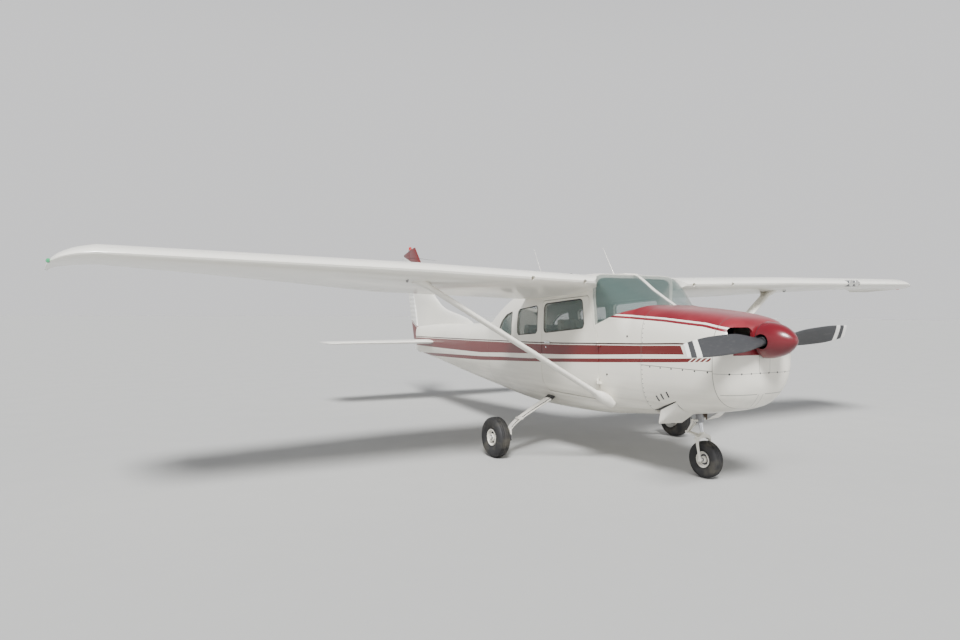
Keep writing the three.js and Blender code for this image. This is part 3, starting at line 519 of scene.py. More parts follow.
def panelJoints(material, x, station, z):
    ways = {"station": station, "height": z, "x": x, "side": calc(material, "ABSOLUTE", x)}

    def limited(value, limits):
        for name, ends in limits.items():
            value = times(material, value, between(material, ways[name], *ends))
        return value

    joints, dots = 0.0, 0.0
    for way, at, half, dark, limits in cowlJoints:
        line = between(material, ways[way], at - half, at + half)
        joints = most(material, joints, times(material, limited(line, limits), dark))
    for across, at, along, pitch, size, limits in cowlFasteners:
        row = rivetRow(material, ways[across], ways[along], at, pitch, size)
        dots = most(material, dots, limited(row, limits))
    return joints, dots


def fuselagePaint():
    material = newMaterial("fuselage_paint", white, 0.3, coat=0.15)
    coordinates, x, y, z = places(material)
    station = plus(material, y, middle)
    color = agedWhite(material, coordinates, z)
    lines = {name: heightLine(material, station, points) for name, points in stripes.items()}
    offset = lambda name, shift: plus(material, lines[name], shift)
    inside = lambda low, high: between(material, z, low, high)
    values = paintValues
    lean = times(material, minus(material, z, 1.24), 0.5)
    wide = inside(lines["wideBottom"], lines["wideTop"])
    wide = times(material, wide, over(material, station, plus(material, lean, values["stripeFront"])))
    pin = inside(offset("wideTop", values["pin"][0]), offset("wideTop", values["pin"][1]))
    pin = times(material, pin, over(material, station, values["pinFront"]))
    narrow = inside(lines["narrowBottom"], lines["narrowTop"])
    slanted = plus(material, station, times(material, z, values["slashLean"]))
    phase = calc(material, "FRACT", calc(material, "DIVIDE", slanted, values["slashPitch"]))
    slash = times(material, over(material, phase, 0.40), between(material, station, *values["slashes"]))
    solidPart = over(material, slanted, values["solidFrom"])
    narrow = times(material, narrow, most(material, slash, solidPart))
    cowl = inside(offset("cowlLine", values["cowlRed"][0]), offset("cowlLine", values["cowlRed"][1]))
    top = over(material, z, offset("cowlLine", values["whiteLine"]))
    ahead = under(material, station, 2.05)
    face = times(material, over(material, z, values["noseLow"]),
                under(material, station, values["noseRear"]))
    face = times(material, face, under(material, calc(material, "ABSOLUTE", x), values["noseSide"]))
    front = most(material, times(material, most(material, top, cowl), ahead), face)
    stripe = most(material, wide, narrow)
    color = mixed(material, stripe, color, stripeRed)
    color = mixed(material, pin, color, pinRed)
    faded = mixed(material, ranged(material, noise(material, coordinates, 3.0, 3), 0.35, 0.7), red,
                  fadedRed)
    color = mixed(material, front, color, faded)
    joints, dots = panelJoints(material, x, station, z)
    color = mixed(material, joints, color, jointDark)
    color = mixed(material, dots, color, fastenerDark)
    give(material, "Base Color", color)
    rows = [rivetRow(material, station, z, at, rivet["pitch"], rivet["size"]) for at in bodyRivets]
    heads = rows[0]
    for row in rows[1:]:
        heads = most(material, heads, row)
    ripple = times(material, noise(material, coordinates, 2.2, 2), 1.6)
    bumped(material, plus(material, heads, ripple), 0.0012, 0.6)
    return material


# white paint of a wing or tail surface: rivets in rows, and pressed beads on the moving ones
def surfacePaint(name, base, rowsAcross, rowsAlong, beads=None):
    material = newMaterial(name, base, 0.26, coat=0.4)
    coordinates, x, y, z = places(material)
    color = agedWhite(material, coordinates, z, base)
    give(material, "Base Color", color)
    height = times(material, noise(material, coordinates, 1.7, 2), 1.4)
    side = calc(material, "ABSOLUTE", x)
    for at in rowsAcross:
        height = plus(material, height, rivetRow(material, side, y, at, rivet["widePitch"], rivet["size"]))
    for at in rowsAlong:
        height = plus(material, height,
                      rivetRow(material, y, x, at - middle, rivet["widePitch"], rivet["size"]))
    if beads:
        height = plus(material, height, times(material, waves(material, x, beads), 2.2))
    bumped(material, height, 0.0012, 0.7)
    return material


# The red cap's lower edge is a height at a station, and rises towards the rear. The triangle's upper edge is a
# height at a station and its slope, and a thin red line runs between two distances above it.
finValues = {"capStation": 8.2, "capSlope": -0.30, "capHeight": 2.46, "triangle": (1.085, 7.606, 0.377),
             "line": (0.016, 0.03), "low": 1.03, "front": 7.5, "rivetRows": (1.35, 1.75, 2.1, 2.42)}


# the fin's red cap, and the red triangle low at the rear
def finPaint(name, base):
    material = newMaterial(name, base, 0.28, coat=0.35)
    coordinates, _, y, z = places(material)
    color = agedWhite(material, coordinates, z, base)
    station = plus(material, y, middle)
    values = finValues
    behind = minus(material, station, values["capStation"])
    capLine = plus(material, z, times(material, behind, values["capSlope"]))
    cap = over(material, capLine, values["capHeight"])
    foot, start, lean = values["triangle"]
    edge = plus(material, foot, times(material, minus(material, station, start), lean))
    rise = minus(material, z, edge)
    triangle = under(material, rise, 0.0)
    line = between(material, rise, *values["line"])
    marks = times(material, most(material, triangle, line), over(material, z, values["low"]))
    marks = times(material, marks, over(material, station, values["front"]))
    color = mixed(material, most(material, cap, marks), color, stripeRed)
    give(material, "Base Color", color)
    height = times(material, noise(material, coordinates, 1.7, 2), 1.4)
    for at in finValues["rivetRows"]:
        height = plus(material, height, rivetRow(material, z, y, at, rivet["pitch"], rivet["size"]))
    if name == "rudder_paint_with_painted_shade":
        height = plus(material, height, times(material, waves(material, z, beadPitch), 2.0))
    bumped(material, height, 0.0012, 0.7)
    return material


# a plain finish with a fine grain and slightly uneven colour and gloss
def glossy(name, base, roughness, metallic=0.0, coat=0.0, grain=40.0, depth=0.0004, spread=0.25):
    material = newMaterial(name, base, roughness, metallic, coat)
    coordinates, *_ = places(material)
    cloud = noise(material, coordinates, grain, 5)
    dark = tuple(channel * (1 - spread) for channel in base)
    give(material, "Base Color", mixed(material, cloud, base, dark))
    rough = plus(material, roughness * 0.8, times(material, cloud, roughness * 0.4))
    give(material, "Roughness", rough)
    bumped(material, cloud, depth, 0.5)
    return material


def glassMaterial(name, tint, alpha, roughness=0.03):
    material = newMaterial(name, tint, roughness)
    give(material, "Alpha", alpha)
    give(material, "IOR", 1.52)
    give(material, "Specular IOR Level", 0.8)
    coordinates, *_ = places(material)
    cloud = noise(material, coordinates, 5.0, 3)
    give(material, "Roughness", plus(material, roughness, times(material, cloud, 0.04)))
    return material


bladeLook = {"bands": (0.74, 0.73, 0.69), "outer": (1.010, 1.09), "inner": (0.890, 0.950),
             "dark": (0.030, 0.031, 0.034), "scuffed": (0.045, 0.045, 0.046)}


# dark blades with two white bands at each tip
def bladePaint():
    material = newMaterial("blade_paint", (0.035, 0.036, 0.038), 0.5)
    coordinates, x, _, z = places(material)
    up = minus(material, z, hubHeight)
    reach = calc(material, "SQRT", plus(material, times(material, x, x), times(material, up, up)))
    tip = most(material, between(material, reach, *bladeLook["outer"]),
               between(material, reach, *bladeLook["inner"]))
    scuff = noise(material, coordinates, 18.0, 5, (1.0, 6.0, 1.0))
    dark = mixed(material, ranged(material, scuff, 0.5, 0.75), bladeLook["dark"], bladeLook["scuffed"])
    give(material, "Base Color", mixed(material, tip, dark, bladeLook["bands"]))
    bumped(material, scuff, 0.0003, 0.4)
    return material


def tyreMaterial():
    material = newMaterial("tyre_rubber", (0.018, 0.018, 0.018), 0.72)
    coordinates, *_ = places(material)
    dust = noise(material, coordinates, 7.0, 6)
    color = mixed(material, ranged(material, dust, 0.45, 0.8), (0.016, 0.016, 0.017), (0.075, 0.068, 0.055))
    give(material, "Base Color", color)
    bumped(material, noise(material, coordinates, 260.0, 3), 0.0005, 0.5)
    return material


def clothMaterial(name, base, dark):
    material = newMaterial(name, base, 0.9)
    give(material, "Sheen Weight", 0.35)
    coordinates, x, y, z = places(material)
    thread = lambda value: waves(material, value, 0.0035)
    weave = times(material, thread(x), plus(material, thread(y), thread(z)))
    cloud = noise(material, coordinates, 8.0, 4)
    give(material, "Base Color", mixed(material, ranged(material, cloud, 0.3, 0.8), base, dark))
    bumped(material, plus(material, weave, cloud), 0.0006, 0.6)
    return material


wingWhite = (0.82, 0.80, 0.73)
ribs = [0.75, 1.15, 1.6, 2.05, 2.5, 2.55, 3.0, 3.45, 3.9, 4.35, 4.8, 5.18]
finish = {
    "fuselage": fuselagePaint(),
    "wing": surfacePaint("wing_paint", wingWhite, ribs, (2.12, 2.55, 3.05)),
    "beaded": surfacePaint("beaded_paint", wingWhite, (), (), beadPitch),
    "tail": surfacePaint("tail_paint", wingWhite, (0.5, 0.95, 1.4, 1.85), (7.3,)),
    "fin": finPaint("fin_paint", wingWhite),
    # the rudder's white is painted greyer than the fin's: painted shade
    "rudder": finPaint("rudder_paint_with_painted_shade", (0.72, 0.72, 0.69)),
    "plain": glossy("plain_white_paint", (0.80, 0.775, 0.70), 0.3, coat=0.3, grain=6.0, depth=0.0003,
                    spread=0.12),
    "spinner": glossy("spinner_red_paint", (0.15, 0.006, 0.013), 0.3, coat=0.25, grain=5.0, depth=0.0002,
                      spread=0.3),
    "blade": bladePaint(),
    "glass": glassMaterial("window_glass", (0.13, 0.20, 0.185), 0.28),
    "tyre": tyreMaterial(),
    "seal": glossy("black_rubber", (0.02, 0.02, 0.02), 0.6, grain=60.0),
    "chrome": glossy("polished_steel", (0.75, 0.76, 0.78), 0.12, 1.0, grain=20.0, depth=0.0001,
                     spread=0.08),
    "steel": glossy("dull_steel", (0.32, 0.32, 0.33), 0.42, 0.9, grain=30.0),
    "exhaust": glossy("burnt_steel", (0.17, 0.13, 0.10), 0.5, 0.8, grain=12.0, spread=0.5),
    "dark": glossy("dark_grey_metal", (0.05, 0.05, 0.055), 0.5, 0.3, grain=30.0),
    "cloth": clothMaterial("seat_weave", (0.30, 0.27, 0.22), (0.20, 0.18, 0.145)),
    "trim": glossy("cabin_lining", (0.42, 0.40, 0.35), 0.75, grain=25.0, spread=0.15),
    "panel": glossy("panel_black", (0.03, 0.03, 0.032), 0.55, grain=80.0),
    "dial": glossy("dial_white", (0.7, 0.7, 0.66), 0.5, grain=40.0, spread=0.1),
    # a dark glossy cover: painted shade of the lamp bay behind the clear cover
    "shadedLampCover": glossy("lamp_cover_painted_shade", (0.10, 0.105, 0.11), 0.32, coat=0.0, grain=4.0, depth=0.0001,
                        spread=0.3),
    "disc": glossy("brake_disc_metal", (0.62, 0.61, 0.58), 0.35, 0.6, grain=30.0),
    "beacon": glassMaterial("beacon_red_glass", (0.55, 0.02, 0.02), 0.8, 0.08),
    "green": glassMaterial("lamp_green_glass", (0.02, 0.42, 0.16), 0.8, 0.08),
    "redLamp": glassMaterial("lamp_red_glass", (0.6, 0.02, 0.02), 0.8, 0.08),
}
print("materials made:", len(finish))


def dress(piece, body, material, nodes=()):
    piece.data.transform(Matrix.Translation((0, 0, rideHeight)))
    piece.data.materials.clear()
    piece.data.materials.append(finish[material])
    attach(piece, body)
    if nodes:
        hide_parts(*nodes)


def made(name, bm, body, material, nodes=(), smooth=30):
    dress(finished(name, bm, smooth), body, material, nodes)


# one piece made of several shapes
def assembled(name, shapes, body, material, nodes=(), smooth=30):
    made(name, joined(shapes), body, material, nodes, smooth)


# Fuselage: station, half-width, top, bottom, height of the widest point, fullness above it and below it, and
# how far the sides flare out towards the top

bodyRows = [
    (0.400, 0.300, 1.440, 0.960, 1.200, 2.3, 2.3, 0),
    (0.430, 0.400, 1.492, 0.860, 1.190, 2.6, 2.5, 0),
    (0.480, 0.455, 1.528, 0.775, 1.180, 3.0, 2.8, 0),
    (0.560, 0.487, 1.553, 0.705, 1.170, 3.2, 2.9, 0),
    (0.800, 0.513, 1.592, 0.640, 1.160, 3.5, 3.0, 0),
    (1.100, 0.530, 1.622, 0.585, 1.150, 3.7, 3.0, 0),
    (1.400, 0.540, 1.645, 0.545, 1.140, 4.0, 3.1, 0),
    (1.490, 0.545, 1.655, 0.535, 1.140, 4.2, 3.1, 0),
    (1.600, 0.549, 1.712, 0.519, 1.132, 3.2, 3.1, 0),
    (1.700, 0.551, 1.767, 0.508, 1.126, 4.0, 3.15, 0.02),
    (1.800, 0.553, 1.822, 0.497, 1.120, 6.0, 3.2, 0.05),
    (1.950, 0.557, 1.922, 0.480, 1.110, 10.0, 3.3, 0.08),
    (2.050, 0.559, 1.979, 0.465, 1.102, 12.0, 3.3, 0.09),
    (2.090, 0.560, 1.990, 0.460, 1.100, 12.0, 3.3, 0.08),
    (2.400, 0.565, 2.010, 0.435, 1.100, 7.0, 3.3, 0),
    (3.000, 0.562, 1.995, 0.415, 1.100, 5.0, 3.3, 0),
    (3.500, 0.535, 1.950, 0.410, 1.100, 4.2, 3.2, 0),
    (3.860, 0.497, 1.882, 0.418, 1.095, 3.8, 3.0, 0),
    (4.225, 0.455, 1.775, 0.440, 1.090, 3.4, 2.8, 0),
    (4.590, 0.415, 1.600, 0.470, 1.080, 3.0, 2.6, 0),
    (4.720, 0.401, 1.500, 0.483, 1.077, 2.9, 2.5, 0),
    (4.800, 0.393, 1.450, 0.490, 1.075, 2.9, 2.5, 0),
    (5.500, 0.325, 1.385, 0.555, 1.070, 2.6, 2.4, 0),
    (6.300, 0.245, 1.365, 0.640, 1.062, 2.4, 2.3, 0),
    (7.100, 0.165, 1.340, 0.730, 1.050, 2.3, 2.2, 0),
    (7.800, 0.092, 1.290, 0.800, 1.045, 2.2, 2.2, 0),
    (8.080, 0.058, 1.265, 0.835, 1.045, 2.1, 2.1, 0),
]
bodyCorners = (0.4, 0.56, 1.49, 2.09, 8.08)  # nose and tail, and where the step or the lines change
bodyAt = smoothTable(bodyRows, corners=(1.49, 2.09))
bodyDetail = {"sides": 88, "step": 0.06, "endStep": 0.02, "seam": 0.0015}


def bodyRing(station, inset):
    _, half, top, bottom, widest, above, below, flare = bodyAt(station)
    points = []
    for angle in turns(bodyDetail["sides"], 0.5):
        across, up = math.sin(angle), math.cos(angle)
        power = 2 / (above if up > 0 else below)
        height = (top - inset - widest) if up > 0 else (widest - bottom - inset)
        rise = abs(up) ** power
        flared = 1 + flare * rise ** 2 if up > 0 else 1
        x = math.copysign((half - inset) * abs(across) ** power * flared, across)
        points.append((x, station - middle, widest + math.copysign(height * rise, up)))
    return points


def body(name, start, end, inset=0.0):
    stations = [start]
    for low, high in zip(bodyCorners, bodyCorners[1:]):
        step = bodyDetail["endStep"] if high == bodyCorners[1] else bodyDetail["step"]
        stations += [s for s in spread(low, high, step) if start + 1e-4 < s < end - 1e-4]
    stations = sorted(set(round(s, 5) for s in stations + [end]))
    return finished(name, lofted([bodyRing(s, inset) for s in stations]))


# a wall of the body between two insets
def skin(name, start, end, outer, inner):
    shell = body(name, start, end, outer)
    hollow = body("hollow", start - 0.02, end + 0.02, inner)
    combine(shell, hollow)
    dropped(hollow)
    return shell


def carved(name, source, keep=None, less=()):
    piece = copied(source, name)
    if keep:
        combine(piece, keep, "INTERSECT")
    for tool in less:
        combine(piece, tool)
    return piece


def boxTool(low, high):
    return cutter(slab((low[0], low[1] - middle, low[2]), (high[0], high[1] - middle, high[2])))


outlines = {
    "door": [(2.030, 0.640), (2.030, 1.300), (2.122, 1.440), (2.190, 1.752), (3.100, 1.700), (3.100, 0.760),
             (3.010, 0.640)],
    "doorWindow": [(2.272, 1.400), (2.308, 1.722), (3.062, 1.668), (3.060, 1.323)],
    "second": [(3.210, 1.313), (3.210, 1.650), (3.735, 1.597), (3.735, 1.273)],
    "third": [(3.912, 1.262), (3.912, 1.574), (4.110, 1.528), (4.240, 1.440), (4.305, 1.335),
              (4.200, 1.268)],
    "windshield": [(1.380, 1.668), (1.500, 1.650), (1.600, 1.612), (1.750, 1.562), (1.860, 1.520),
                   (2.085, 1.437), (2.112, 1.762), (2.095, 2.120), (1.380, 2.120)],
    "deck": [(1.380, 1.540), (1.380, 1.900), (1.900, 1.900), (1.900, 1.490)],
    "roof": [(2.095, 2.120), (2.112, 1.762), (3.110, 1.712), (3.620, 1.676), (4.700, 1.424),
             (4.700, 2.120)],
    "rearWindow": [(-0.33, 3.960), (0.33, 3.960), (0.27, 4.500), (-0.27, 4.500)],
    "exit": [(1.03, 0.4), (1.03, 0.742), (1.385, 0.6106), (1.385, 0.4)],
    "inlet": [(0.165, 1.285), (0.165, 1.452), (0.395, 1.450), (0.418, 1.300)],
}
cabin = {"front": 1.415, "rear": 4.650, "wall": 0.040, "floor": 0.600, "strip": 0.022, "gap": 0.006,
         "corner": 0.055, "tightCorner": 0.03,
         "paneInset": 0.010, "paneDepth": 0.006}
seam = bodyDetail["seam"]


def windowCorner(name):
    return cabin["tightCorner"] if name == "third" else cabin["corner"]


def windowTool(name, side, growth=0.0):
    low, high = sorted((side * 0.3, side * 0.7))
    return sideCut(grown(outlines[name], growth), low, high, windowCorner(name))


def doorTool(side, growth=0.0):
    low, high = sorted((side * 0.25, side * 0.7))
    return sideCut(grown(outlines["door"], growth), low, high, 0.04)


def acrossTool(name, growth=0.0):
    return sideCut(grown(outlines[name], growth), -0.7, 0.7)


def rearTool(growth=0.0):
    points = [(x, s - middle) for x, s in grown(outlines["rearWindow"], growth)]
    return cutter(prism(points, "z", 1.3, 2.1, 0.06))


# all of the cabin that lies below a height
def underTool(top):
    return boxTool((-0.7, 1.3, 0.3), (0.7, 4.7, top))


def makeCabin():
    walls = skin("walls", cabin["front"], cabin["rear"], 0.0, cabin["wall"])
    windshieldHole = acrossTool("windshield", seam)
    roofHole = acrossTool("roof")
    deckHole = acrossTool("deck", seam)
    floorCut = underTool(cabin["floor"] + seam)
    deck = carved("cowl_deck_skin", walls, less=[windshieldHole])
    combine(deck, acrossTool("deck"), "INTERSECT")
    dress(deck, "airframe", "fuselage", ["cowl_deck"])
    roof = carved("roof_skin", walls, acrossTool("roof", -seam), [rearTool(seam)])
    stripWall = skin("strip_wall", cabin["front"], 2.2, 0.0, 0.016)
    stripBox = boxTool((-cabin["strip"], 1.3, 1.4), (cabin["strip"], 2.10, 2.2))
    strip = carved("windshield_strip", stripWall, stripBox)
    combine(strip, acrossTool("windshield"), "INTERSECT")
    dress(roof, "airframe", "fuselage", ["cabin_roof"])
    dress(strip, "airframe", "plain")
    belly = carved("belly_skin", walls, underTool(cabin["floor"]))
    dress(belly, "airframe", "fuselage", ["belly"])
    floor = finished("cabin_floor", slab((-0.53, 1.43 - middle, 0.588), (0.53, 4.48 - middle, 0.599)))
    room = body("room", cabin["front"], cabin["rear"], cabin["wall"] - 0.004)
    combine(floor, room, "INTERSECT")
    dress(floor, "airframe", "trim")
    for name, side in sides.items():
        low, high = sorted((0.0, side * 0.8))
        half = boxTool((low, 1.0, 0.0), (high, 5.0, 2.5))
        holes = [windshieldHole, roofHole, deckHole, floorCut, doorTool(side, cabin["gap"])]
        holes += [windowTool(window, side, 0.001) for window in ("second", "third")]
        wall = carved("side_skin_" + name, walls, half, holes)
        dress(wall, "airframe", "fuselage", ["cabin_side_" + name])
        door = carved("door_skin_" + name, walls, doorTool(side), [windowTool("doorWindow", side, 0.001)])
        dress(door, "door_" + name, "fuselage", ["door_" + name])
    panes = skin("panes", 1.42, 4.64, cabin["paneInset"], cabin["paneInset"] + cabin["paneDepth"])
    front = skin("front_panes", 1.42, 2.3, 0.003, 0.009)
    for name, side in sides.items():
        windows = (("doorWindow", "door_glass_", "door_" + name), ("second", "window_second_", "airframe"),
                   ("third", "window_third_", "airframe"))
        for window, node, holder in windows:
            pane = carved("pane_" + node + name, panes, windowTool(window, side))
            dress(pane, holder, "glass", [node + name])
        half = sorted((side * (cabin["strip"] + 0.001), side * 0.8))
        pane = carved("windshield_pane_" + name, front, boxTool((half[0], 1.3, 1.3), (half[1], 2.3, 2.2)))
        combine(pane, acrossTool("windshield"), "INTERSECT")
        dress(pane, "airframe", "glass", ["windshield_" + name])
    rear = skin("rear_panes", 3.9, 4.62, 0.005, 0.011)
    combine(rear, rearTool(), "INTERSECT")
    rear.name = "rear_window_pane"
    dress(rear, "airframe", "glass", ["rear_window"])
    dropped(walls, stripWall, room, panes, front)


def makeCowling():
    cowl = skin("cowl", 0.56, 1.4135, 0.0, 0.014)
    exits = [sideCut(outlines["exit"], *sorted((side * 0.165, side * 0.52))) for side in (1, -1)]
    upper = carved("cowling_upper_skin", cowl, boxTool((-0.7, 0.5, 1.0635), (0.7, 1.5, 1.8)))
    lower = carved("cowling_lower_skin", cowl, boxTool((-0.7, 0.5, 0.3), (0.7, 1.5, 1.0605)),
                   [*exits, boxTool((-0.075, 1.08, 0.4), (0.075, 1.26, 0.8))])
    dress(upper, "airframe", "fuselage", ["cowling_upper"])
    dress(lower, "airframe", "fuselage", ["cowling_lower"])
    bowl = body("nose_bowl_skin", 0.4, 0.56 - 0.002)
    hollow = body("hollow", 0.425, 0.6, 0.014)
    combine(bowl, hollow)
    for side in (1, -1):
        points = [(side * x, z) for x, z in outlines["inlet"]]
        inlet = cutter(prism(points, "y", 0.35 - middle, 0.55 - middle, 0.045))
        combine(bowl, inlet)
        dropped(inlet)
    shaft = cutter(rod(place(0, 0.38, hubHeight), place(0, 0.47, hubHeight), 0.075, 40))
    combine(bowl, shaft)
    dress(bowl, "airframe", "fuselage", ["nose_bowl"])
    tail = skin("tail_cone_skin", 4.6535, 8.08, 0.0, 0.012)
    dropped(cowl, hollow, shaft)
    return tail


def tidyTools():
    for piece in [o for o in bpy.data.objects if o.name.startswith(("cutter", "hollow"))]:
        dropped(piece)


makeCabin()
tidyTools()
print("cabin made")
tail = makeCowling()
tidyTools()
print("cowling made")


# Wings and tail. A foil ring runs from the rear over the top to the front and back below.

foil = {"points": 22, "blunt": 0.0015, "camber": 0.02}


# the upper and lower surface of a foil at a fraction of its chord, as shares of the chord
def foilHeights(fraction, thickness, camber):
    f = max(fraction, 0)
    shape = 0.2969 * math.sqrt(f) - 0.126 * f - 0.3516 * f ** 2 + 0.2843 * f ** 3 - 0.1036 * f ** 4
    half = 5 * thickness * shape
    crest = 0.4
    if f < crest:
        bow = camber / crest ** 2 * (2 * crest * f - f ** 2)
    else:
        bow = camber / (1 - crest) ** 2 * (1 - 2 * crest + 2 * crest * f - f ** 2)
    return bow + half, bow - half


def foilRing(place, chord, thickness, camber=0.0, front=0.0, rear=1.0, grow=0.0):
    count = foil["points"]
    fractions = [front + (rear - front) * (1 + math.cos(math.pi * i / count)) / 2 for i in range(count + 1)]
    upper, lower = [], []
    for f in fractions:
        high, low = foilHeights(f, thickness, camber)
        upper.append(place(f * chord, high * chord + foil["blunt"] * f + grow))
        lower.append(place(f * chord, low * chord - foil["blunt"] * f - grow))
    lower.reverse()
    return upper + (lower[1:] if front == 0 else lower)


def hingePoint(chord, thickness, camber, hinge):
    upper, lower = foilHeights(hinge, thickness, camber)
    return hinge * chord, (upper + lower) / 2 * chord, (upper - lower) / 2 * chord + foil["blunt"] * hinge


# a control surface, round at its hinge
def controlRing(place, chord, thickness, camber, hinge):
    behind = foilRing(place, chord, thickness, camber, hinge, 1.0)
    along, up, radius = hingePoint(chord, thickness, camber, hinge)
    steps = 14
    angles = [math.pi / 2 + math.pi * (i + 1) / steps for i in range(steps - 1)]
    nose = [place(along + radius * math.cos(a), up + radius * math.sin(a)) for a in angles]
    half = len(behind) // 2
    return behind[:half] + nose + behind[half:]


# the room that is cut out for a control surface
def grooveRing(place, chord, thickness, camber, hinge, room):
    along, up, radius = hingePoint(chord, thickness, camber, hinge)
    radius += room
    steps = 16
    angles = [math.pi / 2 + math.pi * (i + 0.5) / steps for i in range(steps)]
    arc = [place(along + radius * math.cos(a), up + radius * math.sin(a)) for a in angles]
    return [place(chord + 0.08, radius + 0.06), place(along - 0.008, radius + 0.06), *arc,
            place(along - 0.008, -radius - 0.06), place(chord + 0.08, -radius - 0.06)]


# x, front station, height of the front edge, chord, nose-up angle, thickness ratio
wingRows = [
    (0.400, 1.973, 1.891, 1.626, 5.7, 0.120),
    (2.540, 1.975, 1.957, 1.626, 5.7, 0.120),
    (5.200, 2.018, 2.004, 1.165, 1.3, 0.115),
    (5.330, 2.052, 1.990, 1.120, 0.9, 0.098),
    (5.430, 2.125, 1.968, 1.035, 0.5, 0.078),
    (5.500, 2.300, 1.946, 0.850, -0.2, 0.056),
    (5.550, 2.600, 1.924, 0.545, -0.7, 0.040),
    (5.575, 2.880, 1.906, 0.260, -1.0, 0.030),
]
wingAt = smoothTable(wingRows, corners=(2.54, 5.2))
wing = {"hinge": 0.76, "flap": (0.690, 2.525), "aileron": (2.545, 5.190), "gap": 0.006,
        "vents": (0.784, 1.431), "ventRadius": 0.022, "lens": (3.72, 4.0), "inset": 0.002,
        "root": [(0.30, 1.85), (0.74, 1.85), (0.74, 1.968), (0.690, 1.971), (0.650, 1.982), (0.618, 2.003),
                 (0.592, 2.034), (0.576, 2.072), (0.570, 2.12), (0.30, 2.12)]}


def wingPlace(x, side):
    _, front, height, chord, degrees, thickness = wingAt(x)
    angle = math.radians(degrees)

    def place(along, up):
        return (side * x, front - middle + along * math.cos(angle) + up * math.sin(angle),
                height - along * math.sin(angle) + up * math.cos(angle))

    return place, chord, thickness


def wingLoft(name, side, start, end, grow=0.0):
    stations = [x for low, high, step in ((0.4, 2.54, 0.4), (2.54, 5.2, 0.4), (5.2, 5.575, 0.0268))
                for x in spread(low, high, step)]
    stations = [start] + [x for x in sorted(set(stations)) if start + 1e-4 < x < end - 1e-4] + [end]
    rings = []
    for x in stations:
        rings.append(foilRing(*wingPlace(x, side), foil["camber"], grow=grow))
    return finished(name, lofted(rings))


def makeWing(name, side, solid):
    whole = wingLoft("wing_skin_" + name, side, 0.4, 5.575)
    for low, high in (wing["flap"], wing["aileron"]):
        rings = []
        for x in (low - wing["gap"], high + wing["gap"]):
            rings.append(grooveRing(*wingPlace(x, side), foil["camber"], wing["hinge"], wing["gap"]))
        groove = cutter(lofted(rings))
        combine(whole, groove)
    combine(whole, cutter(prism([(side * x, s - middle) for x, s in wing["root"]], "z", 1.6, 2.2)))
    combine(whole, solid)
    for x in wing["vents"]:
        spot, *_ = wingPlace(x, side)
        combine(whole, cutter(rod(spot(-0.05, -0.012), spot(0.06, -0.006), wing["ventRadius"], 20)))
    dress(whole, "airframe", "wing", ["wing_" + name])
    for surface in ("flap", "aileron"):
        rings = []
        low, high = wing[surface]
        for x in spread(low + wing["inset"], high - wing["inset"], 0.5):
            rings.append(controlRing(*wingPlace(x, side), foil["camber"], wing["hinge"]))
        piece = surface + "_" + name
        made(surface + "_skin_" + name, lofted(rings), piece, "beaded", [piece], 50)


# The rows hold the share of the length, the chord and the thickness.
strut = {
    "foot": (0.460, 1.922, 0.609), "head": (2.561, 2.311, 1.892),
    "rows": [(0, 0.165, 0.095), (0.030, 0.195, 0.112), (0.050, 0.212, 0.116), (0.070, 0.205, 0.102),
             (0.088, 0.172, 0.074), (0.102, 0.140, 0.052), (0.930, 0.140, 0.052), (0.950, 0.180, 0.066),
             (0.975, 0.215, 0.085), (1.0, 0.240, 0.105)],
}


def makeStrut(name, side, solid):
    foot = Vector((side * strut["foot"][0], strut["foot"][1] - middle, strut["foot"][2]))
    head = Vector((side * strut["head"][0], strut["head"][1] - middle, strut["head"][2]))
    along = (head - foot).normalized()
    back = (Vector((0, 1, 0)) - along * along.y).normalized()
    up = back.cross(along) * side
    rowAt = smoothTable(strut["rows"])
    rings = []
    for t in sorted(set(spread(0, 0.1, 0.01) + spread(0.1, 0.93, 0.15) + spread(0.93, 1, 0.008))):
        _, chord, thickness = rowAt(t)
        centre = foot.lerp(head, t) - back * 0.4 * chord
        rings.append(foilRing(lambda a, h: centre + back * a + up * h, chord, thickness / chord))
    piece = finished("strut_skin_" + name, lofted(rings))
    combine(piece, solid)
    dress(piece, "airframe", "plain", ["strut_" + name])


# height, front station, thickness ratio
finRows = [
    (1.150, 5.350, 0.020),
    (1.450, 6.060, 0.025),
    (1.625, 6.926, 0.040),
    (1.752, 7.174, 0.060),
    (1.820, 7.290, 0.070),
    (2.300, 7.770, 0.075),
    (2.800, 8.240, 0.075),
]
finAt = smoothTable(finRows)
fin = {"hingeFoot": (7.930, 0.800), "hingeLean": 0.2784, "rearFoot": (8.250, 1.060), "rearLean": 0.3188,
       "top": ((8.150, 2.781), (8.770, 2.658)), "cove": 0.036,
       "rudder": [(0.795, 0.026), (1.300, 0.028), (2.000, 0.024), (2.800, 0.015)]}
# x, front station, chord, thickness ratio
stabRows = [
    (0.0, 6.985, 0.885, 0.085),
    (1.880, 7.140, 0.6267, 0.080),
    (1.930, 7.160, 0.610, 0.068),
    (1.960, 7.200, 0.560, 0.050),
    (1.980, 7.260, 0.480, 0.030),
]
stabAt = smoothTable(stabRows, corners=(1.88,))
stabiliser = {"height": 1.030, "hinge": 0.6, "elevator": (0.135, 1.870), "gap": 0.006, "tube": 0.165}


def hingeStation(z):
    return fin["hingeFoot"][0] + (z - fin["hingeFoot"][1]) * fin["hingeLean"]


def rearStation(z):
    return fin["rearFoot"][0] + (z - fin["rearFoot"][1]) * fin["rearLean"]


def finTopTool():
    (s1, z1), (s2, z2) = fin["top"]
    slope = (z2 - z1) / (s2 - s1)
    front, rear = 7.6, 8.95
    points = [(front, z1 + (front - s1) * slope), (rear, z1 + (rear - s1) * slope), (rear, 3.2),
              (front, 3.2)]
    return sideCut(points, -0.3, 0.3)


